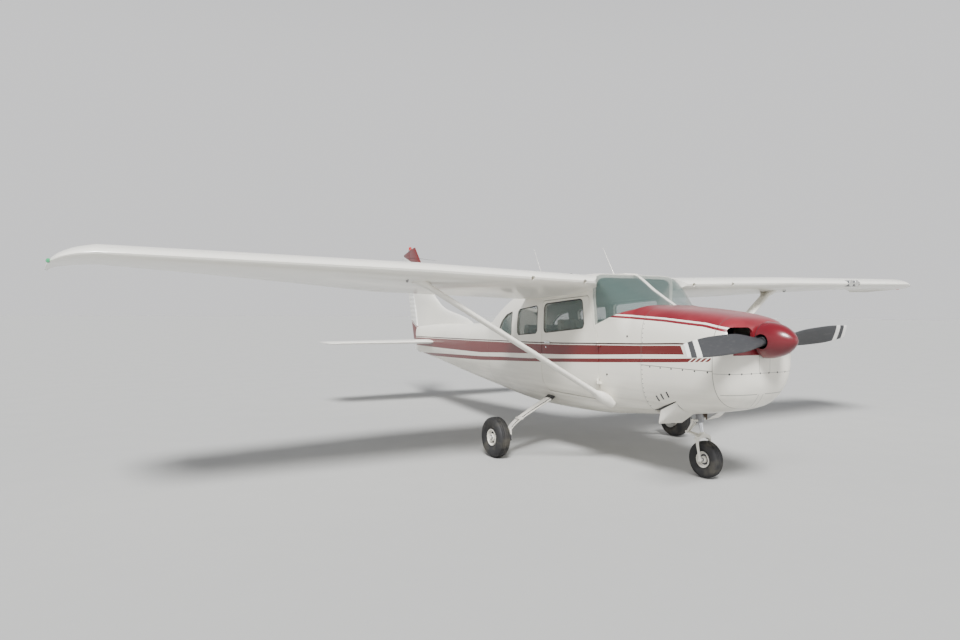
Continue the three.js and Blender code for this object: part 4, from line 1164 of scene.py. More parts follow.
def rudderTool():
    low, high = 0.6, 3.0
    points = [(hingeStation(low) - 0.01, low), (hingeStation(high) - 0.01, high), (9.4, high), (9.4, low)]
    tool = sideCut(points, -0.3, 0.3)
    ends = [place(0, hingeStation(z), z) for z in (low, high)]
    combine(tool, cutter(rod(*ends, fin["cove"], 48)), "UNION")
    return tool


def makeFin(solid):
    rings = []
    for height in spread(1.15, 2.8, 0.05):
        _, front, thickness = finAt(height)
        chord = rearStation(height) - front
        rings.append(foilRing(lambda a, h: (h, front - middle + a, height), chord, thickness))
    piece = finished("fin_skin", lofted(rings))
    for tool in (solid, rudderTool(), finTopTool()):
        combine(piece, tool)
    dress(piece, "airframe", "fin", ["fin"])
    halfAt = smoothTable(fin["rudder"])
    rings = []
    for height in spread(0.795, 2.8, 0.1):
        _, half = halfAt(height)
        hinge, rear = hingeStation(height) - middle, rearStation(height) - middle
        angles = [math.pi * i / 16 for i in range(17)]
        nose = [(half * math.cos(a), hinge - half * math.sin(a), height) for a in angles]
        rings.append([(foil["blunt"], rear, height), *nose, (-foil["blunt"], rear, height)])
    piece = finished("rudder_skin", lofted(rings), 40)
    combine(piece, finTopTool(), smooth=40)
    combine(piece, sideCut([(7.8, 0.7), (8.4, 0.7), (8.4, 0.87), (7.88, 0.8)], -0.3, 0.3), smooth=40)
    dress(piece, "rudder", "rudder", ["rudder"])


def stabPlace(x):
    _, front, chord, thickness = stabAt(abs(x))
    return (lambda a, h: (x, front - middle + a, stabiliser["height"] + h)), chord, thickness


def makeTailplane():
    reach = spread(0, 1.88, 0.47) + [1.9, 1.92, 1.935, 1.95, 1.962, 1.972, 1.98]
    rings = [foilRing(*stabPlace(x)) for x in [-r for r in reversed(reach[1:])] + reach]
    piece = finished("stabiliser_skin", lofted(rings))
    rings = []
    gap = stabiliser["gap"]
    for x in (-stabiliser["elevator"][1] - gap, 0, stabiliser["elevator"][1] + gap):
        rings.append(grooveRing(*stabPlace(x), 0, stabiliser["hinge"], gap))
    combine(piece, cutter(lofted(rings)))
    dress(piece, "airframe", "tail", ["stabiliser"])
    parts = []
    for side in (1, -1):
        rings = []
        for x in spread(*stabiliser["elevator"], 0.5):
            rings.append(controlRing(*stabPlace(side * x), 0, stabiliser["hinge"]))
        parts.append(lofted(rings))
    _, front, chord, _ = stabRows[0]
    hinge = front + stabiliser["hinge"] * chord
    ends = [place(x, hinge, stabiliser["height"]) for x in (-stabiliser["tube"], stabiliser["tube"])]
    parts.append(rod(*ends, 0.02, 20))
    assembled("elevator_skin", parts, "elevator", "beaded", ["elevator"], 50)


def makeTailCone(shell):
    combine(shell, rudderTool())
    dress(shell, "airframe", "fuselage", ["tail_cone"])


solid = body("solid_body", bodyCorners[0], bodyCorners[-1], -0.001)
for name, side in sides.items():
    makeWing(name, side, solid)
    makeStrut(name, side, solid)
print("wings made")
makeFin(solid)
makeTailplane()
makeTailCone(tail)
dropped(solid)
tidyTools()
print("tail made")


# Propeller and spinner. The blade's rows hold the reach, the chord, the thickness and the pitch in degrees.
# The spinner's shape holds shares of its length and of its radius.

blade = {
    "turn": 0.072, "station": 0.325, "height": hubHeight,
    "rows": [(0.110, 0.084, 0.056, 62), (0.220, 0.132, 0.040, 48), (0.420, 0.185, 0.026, 34),
             (0.700, 0.180, 0.018, 25), (0.920, 0.150, 0.012, 19), (1.020, 0.126, 0.009, 17),
             (1.055, 0.112, 0.007, 16)],
    "hub": 0.066, "root": 0.042,
}
spinner = {
    "tip": 0.080, "rear": 0.3717, "radius": 0.165, "wall": 0.005,
    "shape": [(0, 0), (0.01, 0.105), (0.035, 0.2), (0.08, 0.305), (0.14, 0.42), (0.22, 0.545), (0.32, 0.67),
              (0.45, 0.79), (0.6, 0.885), (0.8, 0.965), (1, 1)],
}


def makePropeller():
    hub = Vector((0, blade["station"] - middle, blade["height"]))
    rowAt = smoothTable(blade["rows"])
    forward = Vector((0, -1, 0))
    parts = []
    for side in (1, -1):
        out = Vector((side * math.cos(blade["turn"]), 0, side * math.sin(blade["turn"])))
        tangent = forward.cross(out)
        rings = []
        for reach in spread(0.11, 0.98, 0.05) + spread(0.99, 1.055, 0.013):
            _, chord, thickness, degrees = rowAt(reach)
            pitch = math.radians(degrees)
            lead = tangent * math.cos(pitch) + forward * math.sin(pitch)
            face = lead.cross(out)
            start = hub + out * reach + lead * 0.42 * chord
            rings.append(foilRing(lambda a, h: start - lead * a + face * h, chord, thickness / chord))
        parts.append(lofted(rings))
        parts.append(rod(hub, hub + out * 0.15, blade["root"], 40))
    at = lambda s: (0, s - middle, blade["height"])
    parts.append(rod(at(0.255), at(0.378), blade["hub"], 40))
    parts.append(rod(at(0.372), at(0.378), spinner["radius"] - 0.002, 64))
    parts.append(rod(at(0.372), at(0.539), 0.05, 32))
    assembled("propeller_blades", parts, "propeller", "blade", ["propeller"])


def makeSpinner():
    length = spinner["rear"] - spinner["tip"]
    centre = (0, spinner["tip"] - middle, blade["height"])
    outer = [(out * spinner["radius"], back * length) for back, out in spinner["shape"]]
    shapeAt = smoothTable([(back, out) for out, back in outer])
    backs = [length * (i / 40) ** 1.7 for i in range(1, 41)]  # closer together towards the tip
    fine = [(0.0, 0.0)] + [(shapeAt(back)[1], back) for back in backs]
    shell = finished("spinner_skin", spun([*fine, (0, length)], centre, (0, 1, 0), 72))
    inner = [(max(radius - spinner["wall"], 0), back + 2 * spinner["wall"]) for radius, back in fine]
    behind = length + 0.05
    inner = [(0, 2 * spinner["wall"]), *inner[2:], (inner[-1][0], behind), (0, behind)]
    combine(shell, cutter(spun(inner, centre, (0, 1, 0), 72)))
    hub = Vector((0, blade["station"] - middle, blade["height"]))
    reach = Vector((math.cos(blade["turn"]), 0, math.sin(blade["turn"]))) * 0.3
    combine(shell, cutter(rod(hub - reach, hub + reach, blade["hub"], 48)))
    dress(shell, "propeller", "spinner", ["spinner"])


def softSlab(low, high, radius=0.004, segments=2):
    bm = slab(place(*low), place(*high))
    bmesh.ops.bevel(bm, geom=list(bm.edges), affect="EDGES", offset=radius, segments=segments, profile=0.6)
    return bm


# Wheels

wheels = {
    "main": {"radius": 0.2222, "width": 0.152, "rim": 0.092, "station": 2.824, "height": 0.18318,
             "axle": 0.020},
    "nose": {"radius": 0.1799, "width": 0.128, "rim": 0.080, "station": 1.063, "height": 0.14113,
             "axle": 0.012},
}


def tyreProfile(values):
    radius, rim, half = values["radius"], values["rim"], values["width"] / 2
    depth = radius - rim
    # share of the depth, share of the half-width, from the bead to the crown
    shape = [(0, 0.62), (0.06, 0.70), (0.14, 0.80), (0.28, 0.93), (0.42, 1.0), (0.56, 1.0), (0.70, 0.975),
             (0.82, 0.90), (0.90, 0.79), (0.955, 0.64)]
    side = [(rim + depth * out, wide * half) for out, wide in shape]
    crown = []
    for edge in (0.46, 0.20):
        top = radius - 0.0006 - 0.010 * edge ** 2
        crown += [(top, half * (edge + 0.045)), (top - 0.006, half * (edge + 0.03)),
                  (top - 0.006, half * (edge - 0.03)), (top, half * (edge - 0.045))]
    section = side + crown
    return section + [(r, -a) for r, a in reversed(section)]


# way is 1 where the outer face looks to the left side, and -1 where it looks to the right
def makeWheel(kind, side, x, bodyName, way):
    values = wheels[kind]
    end = "_" + side if side else ""
    centre = (x, values["station"] - middle, values["height"])
    profile = tyreProfile(values)
    bead = [(values["rim"] + 0.001, profile[-1][1]), (values["rim"] + 0.001, profile[0][1])]
    tyre = spun([*profile, *bead, profile[0]], centre, (1, 0, 0), 96)
    made(kind + "_tyre_tread" + end, tyre, bodyName, "tyre", [kind + "_tyre" + end], 35)
    rim, axle = values["rim"], values["axle"]
    half = values["width"] * 0.4
    dish = [(axle + 0.001, 0.9), (axle + 0.016, 0.9), (axle + 0.020, 0.82), (axle + 0.021, 0.42),
            (axle + 0.030, 0.34), (rim - 0.026, 0.40),
            (rim - 0.018, 0.50), (rim - 0.013, 0.86), (rim - 0.010, 0.97), (rim - 0.004, 1.0),
            (rim - 0.001, 0.97), (rim - 0.001, 0.9)]
    outer = [(r, way * a * half) for r, a in dish]
    inner = [(r, -way * a * half) for r, a in reversed(dish)]
    disc = finished(kind + "_rim_disc" + end, spun([*outer, *inner, outer[0]], centre, (1, 0, 0), 64), 35)
    parts = []
    for angle in turns(6, 0.5):
        reach = (axle + rim) / 2 + 0.004
        y, z = centre[1] + reach * math.cos(angle), centre[2] + reach * math.sin(angle)
        parts.append(rod((x + way * half * 0.30, y, z), (x + way * half * 0.50, y, z), 0.0065, 6))
    ends = [(across, centre[1], centre[2]) for across in (x + way * half * 0.85, x + way * (half + 0.006))]
    parts.append(rod(*ends, axle + 0.010, 32, axle + 0.006))
    # a thin dark ring inside the wheel's dish: painted shade, standing for the shadow in the dish
    hollow = [(axle + 0.023, -0.0006), (rim - 0.028, -0.0006), (rim - 0.028, 0.0006),
              (axle + 0.023, 0.0006), (axle + 0.023, -0.0006)]
    ring = spun(hollow, (x + way * half * 0.43, centre[1], centre[2]), (1, 0, 0), 64)
    made(kind + "_rim_hollow" + end, ring, bodyName, "dark")
    bolts = finished(kind + "_rim_bolts" + end, joined(parts))
    dress(disc, bodyName, "plain", [kind + "_rim" + end])
    dress(bolts, bodyName, "steel")


# Landing gear: x, station, height, width along the aircraft, thickness

legRows = [(0.400, 3.040, 0.600, 0.150, 0.028), (0.520, 3.010, 0.540, 0.143, 0.027),
           (0.815, 2.930, 0.435, 0.122, 0.024), (1.105, 2.842, 0.318, 0.098, 0.020),
           (1.207, 2.802, 0.250, 0.090, 0.018)]
gear = {
    "strutFoot": (1.145, 0.526), "strutLean": 0.225, "firewall": 1.3985,
    "plate": [(-0.078, 0.160), (-0.056, 0.139), (0.016, 0.139), (0.038, 0.160), (0.038, 0.246),
              (0.016, 0.272), (-0.056, 0.272), (-0.078, 0.246)],
    "plateBolts": ((-0.052, 0.160), (0.025, 0.160), (-0.052, 0.246), (0.018, 0.246)),
    "disc": [(0.030, -0.004), (0.104, -0.004), (0.104, 0.004), (0.030, 0.004), (0.030, -0.004)],
    "caliper": [(-0.114, 0.152), (-0.074, 0.138), (-0.056, 0.176), (-0.074, 0.222), (-0.114, 0.212)],
}


def makeLeg(name, side, solid):
    rowAt = smoothTable(legRows)
    stations = spread(0.4, 1.207, 0.05)
    rings = []
    for i, x in enumerate(stations):
        _, s, z, wide, thick = rowAt(x)
        before, after = rowAt(stations[max(i - 1, 0)]), rowAt(stations[min(i + 1, len(stations) - 1)])
        slope = math.atan2(after[2] - before[2], after[0] - before[0])
        ring = []
        for angle in turns(28, 0.5):
            along = bulged(math.cos(angle), 0.45) * wide / 2
            up = bulged(math.sin(angle), 0.8) * thick / 2
            ring.append((side * (x - math.sin(slope) * up), s - middle + along, z + math.cos(slope) * up))
        rings.append(ring)
    leg = finished("main_leg_spring_" + name, lofted(rings), 40)
    combine(leg, solid, smooth=40)
    height = wheels["main"]["height"]
    near, far = side * 1.196, side * 1.216
    hub = wheels["main"]["station"] - middle
    plate = prism([(hub + s, z) for s, z in gear["plate"]], "x", min(near, far), max(near, far), 0.008)
    axle = wheels["main"]["axle"]
    parts = [plate, rod((side * 1.204, hub, height), (side * 1.427, hub, height), axle, 32)]
    for s, z in gear["plateBolts"]:
        parts.append(rod((side * 1.192, hub + s, z), (side * 1.220, hub + s, z), 0.007, 6))
    axle = finished("main_axle_" + name, joined(parts))
    # brake disc and caliper inboard of the wheel, with its line along the leg
    brake = finished("brake_disc_" + name, spun(gear["disc"], (side * 1.264, hub, height), (1, 0, 0), 64))
    line = [rowAt(x) for x in spread(0.5, 1.18, 0.06)]
    rings = []
    for x, s, z, wide, thick in line:
        y, high = s - middle - wide * 0.42, z + thick / 2 + 0.005
        angles = [k * math.pi / 4 for k in range(8)]
        rings.append([(side * x, y + 0.004 * math.cos(a), high + 0.004 * math.sin(a)) for a in angles])
    hose = lofted(rings)
    low, high = sorted((side * 1.219, side * 1.258))
    caliper = prism([(hub + s, z) for s, z in gear["caliper"]], "x", low, high, 0.010)
    _, s, z, wide, thick = rowAt(1.04)
    low, high = sorted((side * 1.00, side * 1.07))
    knob = [(side * 1.035, s - middle - 0.01, z + rise) for rise in (0.028, 0.038)]
    step = [softSlab((low, s - wide * 0.5, z + 0.004), (high, s + 0.01, z + 0.030), 0.004),
            rod(*knob, 0.009, 6)]
    boot = []
    for x in spread(0.40, 0.530, 0.015):
        _, s, z, wide, thick = rowAt(x)
        half, high = wide / 2 + 0.010, thick / 2 + 0.010
        angles = [k * math.pi / 12 for k in range(24)]
        boot.append([(side * x, s - middle + math.cos(a) * half, z + math.sin(a) * high) for a in angles])
    boot = finished("main_leg_boot_" + name, lofted(boot), 40)
    combine(boot, solid, smooth=40)
    dress(boot, "airframe", "seal")
    dress(leg, "airframe", "plain", ["main_leg_" + name])
    dress(axle, "airframe", "plain")
    dress(brake, "main_wheel_" + name, "disc")
    assembled("brake_caliper_" + name, [caliper], "airframe", "dark")
    made("brake_line_" + name, hose, "airframe", "seal")
    assembled("leg_step_" + name, step, "airframe", "plain")


def onStrut(z, shift=0.0):
    return (0, gear["strutFoot"][0] + (z - gear["strutFoot"][1]) * gear["strutLean"] - middle + shift, z)


# a bent round bar through a few points
def tube(points, radius, sides=16):
    path = [Vector(point) for point in points]
    fine = []
    for i in range(len(path) - 1):
        start, end = path[i], path[i + 1]
        before, after = path[max(i - 1, 0)], path[min(i + 2, len(path) - 1)]
        for k in range(6):
            t = k / 6
            square = (2 * before - 5 * start + 4 * end - after) * t * t
            cube = (3 * start - before - 3 * end + after) * t ** 3
            fine.append(0.5 * (2 * start + (end - before) * t + square + cube))
    fine.append(path[-1])
    first, last = radius if isinstance(radius, tuple) else (radius, radius)
    rings = []
    for i, point in enumerate(fine):
        along = (fine[min(i + 1, len(fine) - 1)] - fine[max(i - 1, 0)]).normalized()
        across = along.cross(Vector((0.3, 0.2, 0.93))).normalized()
        up = across.cross(along)
        size = first + (last - first) * i / (len(fine) - 1)
        angles = [k * 2 * math.pi / sides for k in range(sides)]
        rings.append([point + (across * math.cos(a) + up * math.sin(a)) * size for a in angles])
    return lofted(rings)


# height, station and half-width of a fork's arm
forkRows = [(0.127, 1.063, 0.015), (0.172, 1.067, 0.014), (0.240, 1.080, 0.015), (0.320, 1.096, 0.019),
            (0.362, 1.103, 0.022)]
# The arms hold a share of the half-width, the station and the height. The pins hold a reach, a station, a
# height and a radius.
torqueLink = {
    "half": 0.032,
    "lower": [(1, 1.124, 0.353), (0.6, 1.21, 0.366), (0.3, 1.298, 0.378)],
    "upper": [(0.3, 1.298, 0.374), (0.6, 1.25, 0.435), (1, 1.200, 0.493)],
    "pins": [(0.045, 1.124, 0.353, 0.012), (0.026, 1.298, 0.376, 0.014), (0.048, 1.202, 0.494, 0.010)],
}


def makeNoseGear():
    cylinder = [rod(onStrut(0.495), onStrut(0.955), 0.034, 40),
                rod(onStrut(0.486), onStrut(0.520), 0.039, 40),
                rod(onStrut(0.524), onStrut(0.540), 0.042, 40)]
    s1, s2 = onStrut(0.88)[1], onStrut(0.64)[1] + 0.01
    wall = gear["firewall"] - middle
    cylinder += [slab((-0.045, s1, 0.85), (0.045, wall, 0.90)), slab((-0.03, s2, 0.64), (0.03, wall, 0.67))]
    assembled("nose_cylinder_casing", cylinder, "airframe", "steel", ["nose_cylinder"])
    made("nose_piston", rod(onStrut(0.346), onStrut(0.74), 0.0195, 40), "nose_leg", "chrome")
    height = wheels["nose"]["height"]
    parts = []
    rows = smoothTable(forkRows)
    for side in (1, -1):
        rings = []
        for z in spread(0.127, 0.362, 0.013):
            _, s, half = rows(z)
            lean = 0.007 * math.sin(math.pi * (z - 0.127) / 0.235)
            ring = []
            for angle in turns(20):
                a = bulged(math.cos(angle), 0.7) * half
                b = bulged(math.sin(angle), 0.7) * 0.008
                ring.append((side * (0.080 + lean) + b, s - middle + a, z))
            rings.append(ring)
        parts.append(lofted(rings))
    crown = prism([(-0.089, 0.322), (-0.073, 0.322), (-0.068, 0.331), (-0.050, 0.341), (-0.028, 0.347),
                   (0.028, 0.347), (0.050, 0.341), (0.068, 0.331), (0.073, 0.322), (0.089, 0.322),
                   (0.088, 0.343), (0.072, 0.362), (0.046, 0.376), (0.030, 0.382), (-0.030, 0.382),
                   (-0.046, 0.376), (-0.072, 0.362), (-0.088, 0.343)], "y",
                  onStrut(0.352)[1] - 0.024, onStrut(0.352)[1] + 0.024, 0.003)
    parts.append(crown)
    parts.append(rod(onStrut(0.372), onStrut(0.398), 0.033, 32, 0.026))
    centre = wheels["nose"]["station"]
    axle = wheels["nose"]["axle"]
    parts.append(rod(place(-0.098, centre, height), place(0.098, centre, height), axle, 24))
    assembled("nose_fork_casting", parts, "nose_leg", "plain", ["nose_fork"], 40)
    link = []
    for arm, radii in ((torqueLink["lower"], (0.0125, 0.009)), (torqueLink["upper"], (0.009, 0.0115))):
        for side in (1, -1):
            half = side * torqueLink["half"]
            link.append(tube([place(half * share, s, z) for share, s, z in arm], radii))
    for half, s, z, radius in torqueLink["pins"]:
        link.append(rod(place(-half, s, z), place(half, s, z), radius, 20))
    assembled("nose_torque_link", link, "nose_leg", "plain", smooth=40)
    # steering arms on the collar, and their rods up to the firewall
    for x in (0.085, -0.085):
        arm = [tube([(x * 0.35, onStrut(0.512)[1], 0.512), (x, onStrut(0.515)[1] + 0.02, 0.515)],
                    (0.014, 0.009)),
               rod((x, onStrut(0.505)[1] + 0.02, 0.505), (x, onStrut(0.527)[1] + 0.02, 0.527), 0.012, 16)]
        assembled("steering_arm", arm, "nose_leg", "plain", smooth=40)
        bar = [tube([(x, onStrut(0.52)[1] + 0.02, 0.522), (x * 1.1, 1.25 - middle, 0.60),
                     (x * 1.2, 1.385 - middle, 0.70)], 0.007)]
        assembled("steering_rod", bar, "airframe", "steel", smooth=40)


# A cowl flap's front line lies on the cowl's skin. Both its lines hold a count along them, x, station and
# height.
cowlFlap = {
    "front": [(0, 0.190, 1.036, 0.607), (1, 0.250, 1.036, 0.616), (2, 0.310, 1.036, 0.634),
              (3, 0.365, 1.036, 0.659), (4, 0.405, 1.036, 0.690), (5, 0.428, 1.036, 0.729)],
    "rear": [(0, 0.172, 1.214, 0.489), (1, 0.250, 1.236, 0.489), (2, 0.340, 1.258, 0.489),
             (3, 0.408, 1.272, 0.489), (4, 0.421, 1.272, 0.503), (5, 0.423, 1.246, 0.622)],
}


exhaust = {"place": (0.28, 1.34), "top": 0.9797, "foot": 0.470, "bore": 0.60, "radius": 0.028,
           "inner": 0.0255}


# open cowl flaps and the exhaust
def makeCowlUnder():
    frontAt, rearAt = smoothTable(cowlFlap["front"]), smoothTable(cowlFlap["rear"])
    for name, side in sides.items():
        rings = []
        for share in spread(0, 1, 0.06):
            line = []
            for t in spread(0, 5, 0.2):
                fore, aft = frontAt(t), rearAt(t)
                line.append([a + (b - a) * share for a, b in zip(fore[1:], aft[1:])])
            inside = [(x - 0.003, s, z + 0.005) for x, s, z in reversed(line)]
            rings.append([place(side * x, s, z) for x, s, z in [*line, *inside]])
        panel = finished("cowl_flap_skin_" + name, lofted(rings), 50)
        hinge = []
        for x in (0.196, 0.220):
            ends = [place(side * across, 1.0355, 0.612) for across in (x, x + 0.018)]
            hinge.append(rod(*ends, 0.005, 12))
        ridges = []
        for share in (0.80, 0.90):
            points = []
            for t in spread(0.3, 4.7, 0.2):
                fore, aft = frontAt(t), rearAt(t)
                points.append([a + (b - a) * share for a, b in zip(fore[1:], aft[1:])])
            ridges.append(tube([place(side * x, s, z - 0.0005) for x, s, z in points], 0.0035, 8))
        dress(panel, "airframe", "plain", ["cowl_flap_" + name])
        assembled("cowl_flap_fittings_" + name, [*hinge, *ridges], "airframe", "plain")
    x, station = exhaust["place"]
    top, foot, bore = (place(x, station, height)
                       for height in (exhaust["top"], exhaust["foot"], exhaust["bore"]))
    pipe = finished("exhaust_pipe", rod(top, foot, exhaust["radius"], 40))
    below = place(x, station, exhaust["foot"] - 0.01)
    combine(pipe, cutter(rod(bore, below, exhaust["inner"], 40)))
    dress(pipe, "airframe", "exhaust", ["exhaust"])


makePropeller()
makeSpinner()
solid = body("solid_body", bodyCorners[0], bodyCorners[-1], -0.001)
for name, side in sides.items():
    makeLeg(name, side, solid)
    makeWheel("main", name, side * 1.357, "main_wheel_" + name, side)
dropped(solid)
makeWheel("nose", "", 0, "nose_wheel", -1)
makeNoseGear()
makeCowlUnder()
tidyTools()
print("propeller and gear made")


# Cabin inside

# cap is the most that a cushion swells, and shrink is what its plain block is smaller by on each side
pad = {"voxel": 0.013, "pressure": 4.0, "frames": 20, "cap": 0.013, "shrink": 0.007, "channel": 0.006,
       "channelWidth": 0.009, "baseDepth": 0.125, "backDepth": 0.095, "baseTilt": 2.5}


# A cushion of a width, length and depth that is swollen by a cloth simulation. Its back face stays flat.
def puffed(name, size, channels):
    half = [value / 2 - pad["shrink"] for value in size]
    bm = bmesh.new()
    bmesh.ops.create_cube(bm, size=2)
    bmesh.ops.scale(bm, vec=half, verts=bm.verts)
    corner = min(half) * 0.55
    bmesh.ops.bevel(bm, geom=list(bm.edges), affect="EDGES", offset=corner, segments=4, profile=0.5)
    piece = finished(name, bm)
    remesh = piece.modifiers.new("remesh", "REMESH")
    remesh.mode, remesh.voxel_size = "VOXEL", pad["voxel"]
    baked(piece)
    before = [vertex.co.copy() for vertex in piece.data.vertices]
    flat = piece.vertex_groups.new(name="flat")
    flat.add([i for i, point in enumerate(before) if point.z < -half[2] * 0.8], 1.0, "REPLACE")
    cloth = piece.modifiers.new("cloth", "CLOTH")
    cloth.settings.vertex_group_mass = "flat"
    cloth.settings.use_pressure = True
    cloth.settings.uniform_pressure_force = pad["pressure"]
    cloth.settings.effector_weights.gravity = 0
    for step in range(1, pad["frames"] + 1):
        bpy.context.scene.frame_set(step)
    baked(piece)
    bpy.context.scene.frame_set(1)
    for vertex, start in zip(piece.data.vertices, before):
        offset = vertex.co - start
        if offset.length > pad["cap"]:
            vertex.co = start + offset * (pad["cap"] / offset.length)
    bm = bmesh.new()
    bm.from_mesh(piece.data)
    bmesh.ops.subdivide_edges(bm, edges=bm.edges, cuts=1, use_grid_fill=True, smooth=0.5)
    for vertex in bm.verts:
        if vertex.co.z > 0:
            near = min(abs(vertex.co.x - at) for at in channels)
            vertex.co.z -= pad["channel"] * math.exp(-(near / pad["channelWidth"]) ** 2)
    bm.to_mesh(piece.data)
    bm.free()
    piece.data.shade_smooth()
    return piece


# front station, seat height, rear station, height and lean of the back, x range
seats = {
    "seat_front_left": (2.300, 0.900, 2.800, 1.480, 0.120, 0.050, 0.470),
    "seat_front_right": (2.300, 0.900, 2.800, 1.480, 0.120, -0.470, -0.050),
    "bench_middle": (3.180, 0.880, 3.600, 1.400, 0.100, -0.440, 0.440),
    "bench_rear": (3.900, 0.850, 4.190, 1.230, 0.080, -0.350, 0.350),
}


def seatFrame(name, values):
    front, height, rear, top, lean, low, high = values
    floor = cabin["floor"]
    rest, crown = rear + 0.05 + lean * 0.9, top - 0.06
    parts = [softSlab((low + 0.01, front + 0.02, height - 0.155),
                      (high - 0.01, rear - 0.03, height - 0.118), 0.008)]
    for x in (low + 0.045, high - 0.045):
        parts.append(softSlab((x - 0.014, front + 0.01, floor + 0.001),
                              (x + 0.014, rear + 0.03, floor + 0.016), 0.003))
        for station in (front + 0.05, rear - 0.06):
            parts.append(rod(place(x, station, floor + 0.012), place(x, station, height - 0.13), 0.011, 16))
        bar = ((front + 0.05, 0.09), ((front + rear) / 2, 0.075), (rear - 0.06, 0.09))
        parts.append(tube([place(x, station, floor + rise) for station, rise in bar], 0.008, 12))
        parts.append(rod(place(x, rear - 0.045, height - 0.13), place(x, rest, crown), 0.010, 16))
    parts.append(rod(place(low + 0.045, rest, crown), place(high - 0.045, rest, crown), 0.010, 16))
    assembled(name + "_frame", parts, "airframe", "steel")


def makeSeats():
    kept = {}
    for name, values in seats.items():
        front, height, rear, top, lean, low, high = values
        seatFrame(name, values)
        width = high - low
        length = rear - 0.03 - front
        lie = math.hypot(lean, top - height + 0.03)
        shape = (round(width, 3), round(length, 3), round(lie, 3))
        channels = [0.0] if width < 0.5 else [-width / 4, 0.0, width / 4]
        if shape not in kept:
            kept[shape] = [puffed("cushion", (width - 0.01, long, deep), channels)
                           for long, deep in ((length, pad["baseDepth"]), (lie, pad["backDepth"]))]
        x = (low + high) / 2
        spots = (("_cushion", place(x, front + length / 2, height - 0.058), math.radians(pad["baseTilt"])),
                 ("_back_cushion", place(x, rear - 0.012 + lean / 2, (height + top) / 2 + 0.005),
                  math.atan2(top - height + 0.03, lean)))
        cushions = [copied(piece, name + end) for piece, (end, _, _) in zip(kept[shape], spots)]
        for cushion, (_, spot, angle) in zip(cushions, spots):
            cushion.data.transform(Matrix.Translation(spot) @ Matrix.Rotation(angle, 4, "X"))
            dress(cushion, "airframe", "cloth", [name])
    for pair in kept.values():
        dropped(*pair)


panelFittings = {
    "dials": [(0.125, 1.385), (0.235, 1.385), (0.345, 1.385), (0.125, 1.265), (0.235, 1.235),
              (0.345, 1.265), (-0.15, 1.385), (-0.25, 1.385), (-0.35, 1.385), (-0.20, 1.275)],
    "dialRadius": 0.040, "station": 1.800, "yokes": (0.240, -0.240), "yokeStation": 1.957,
    "wheel": [(-0.108, 1.400), (-0.122, 1.350), (-0.105, 1.305), (-0.05, 1.296), (0.0, 1.312),
              (0.05, 1.296), (0.105, 1.305), (0.122, 1.350), (0.108, 1.400)],
    "radios": (1.215, 0.058, 4), "pulls": ((-0.030, 0.014), (0.002, 0.011), (0.034, 0.011)),
    "pullHeight": 1.165,
}


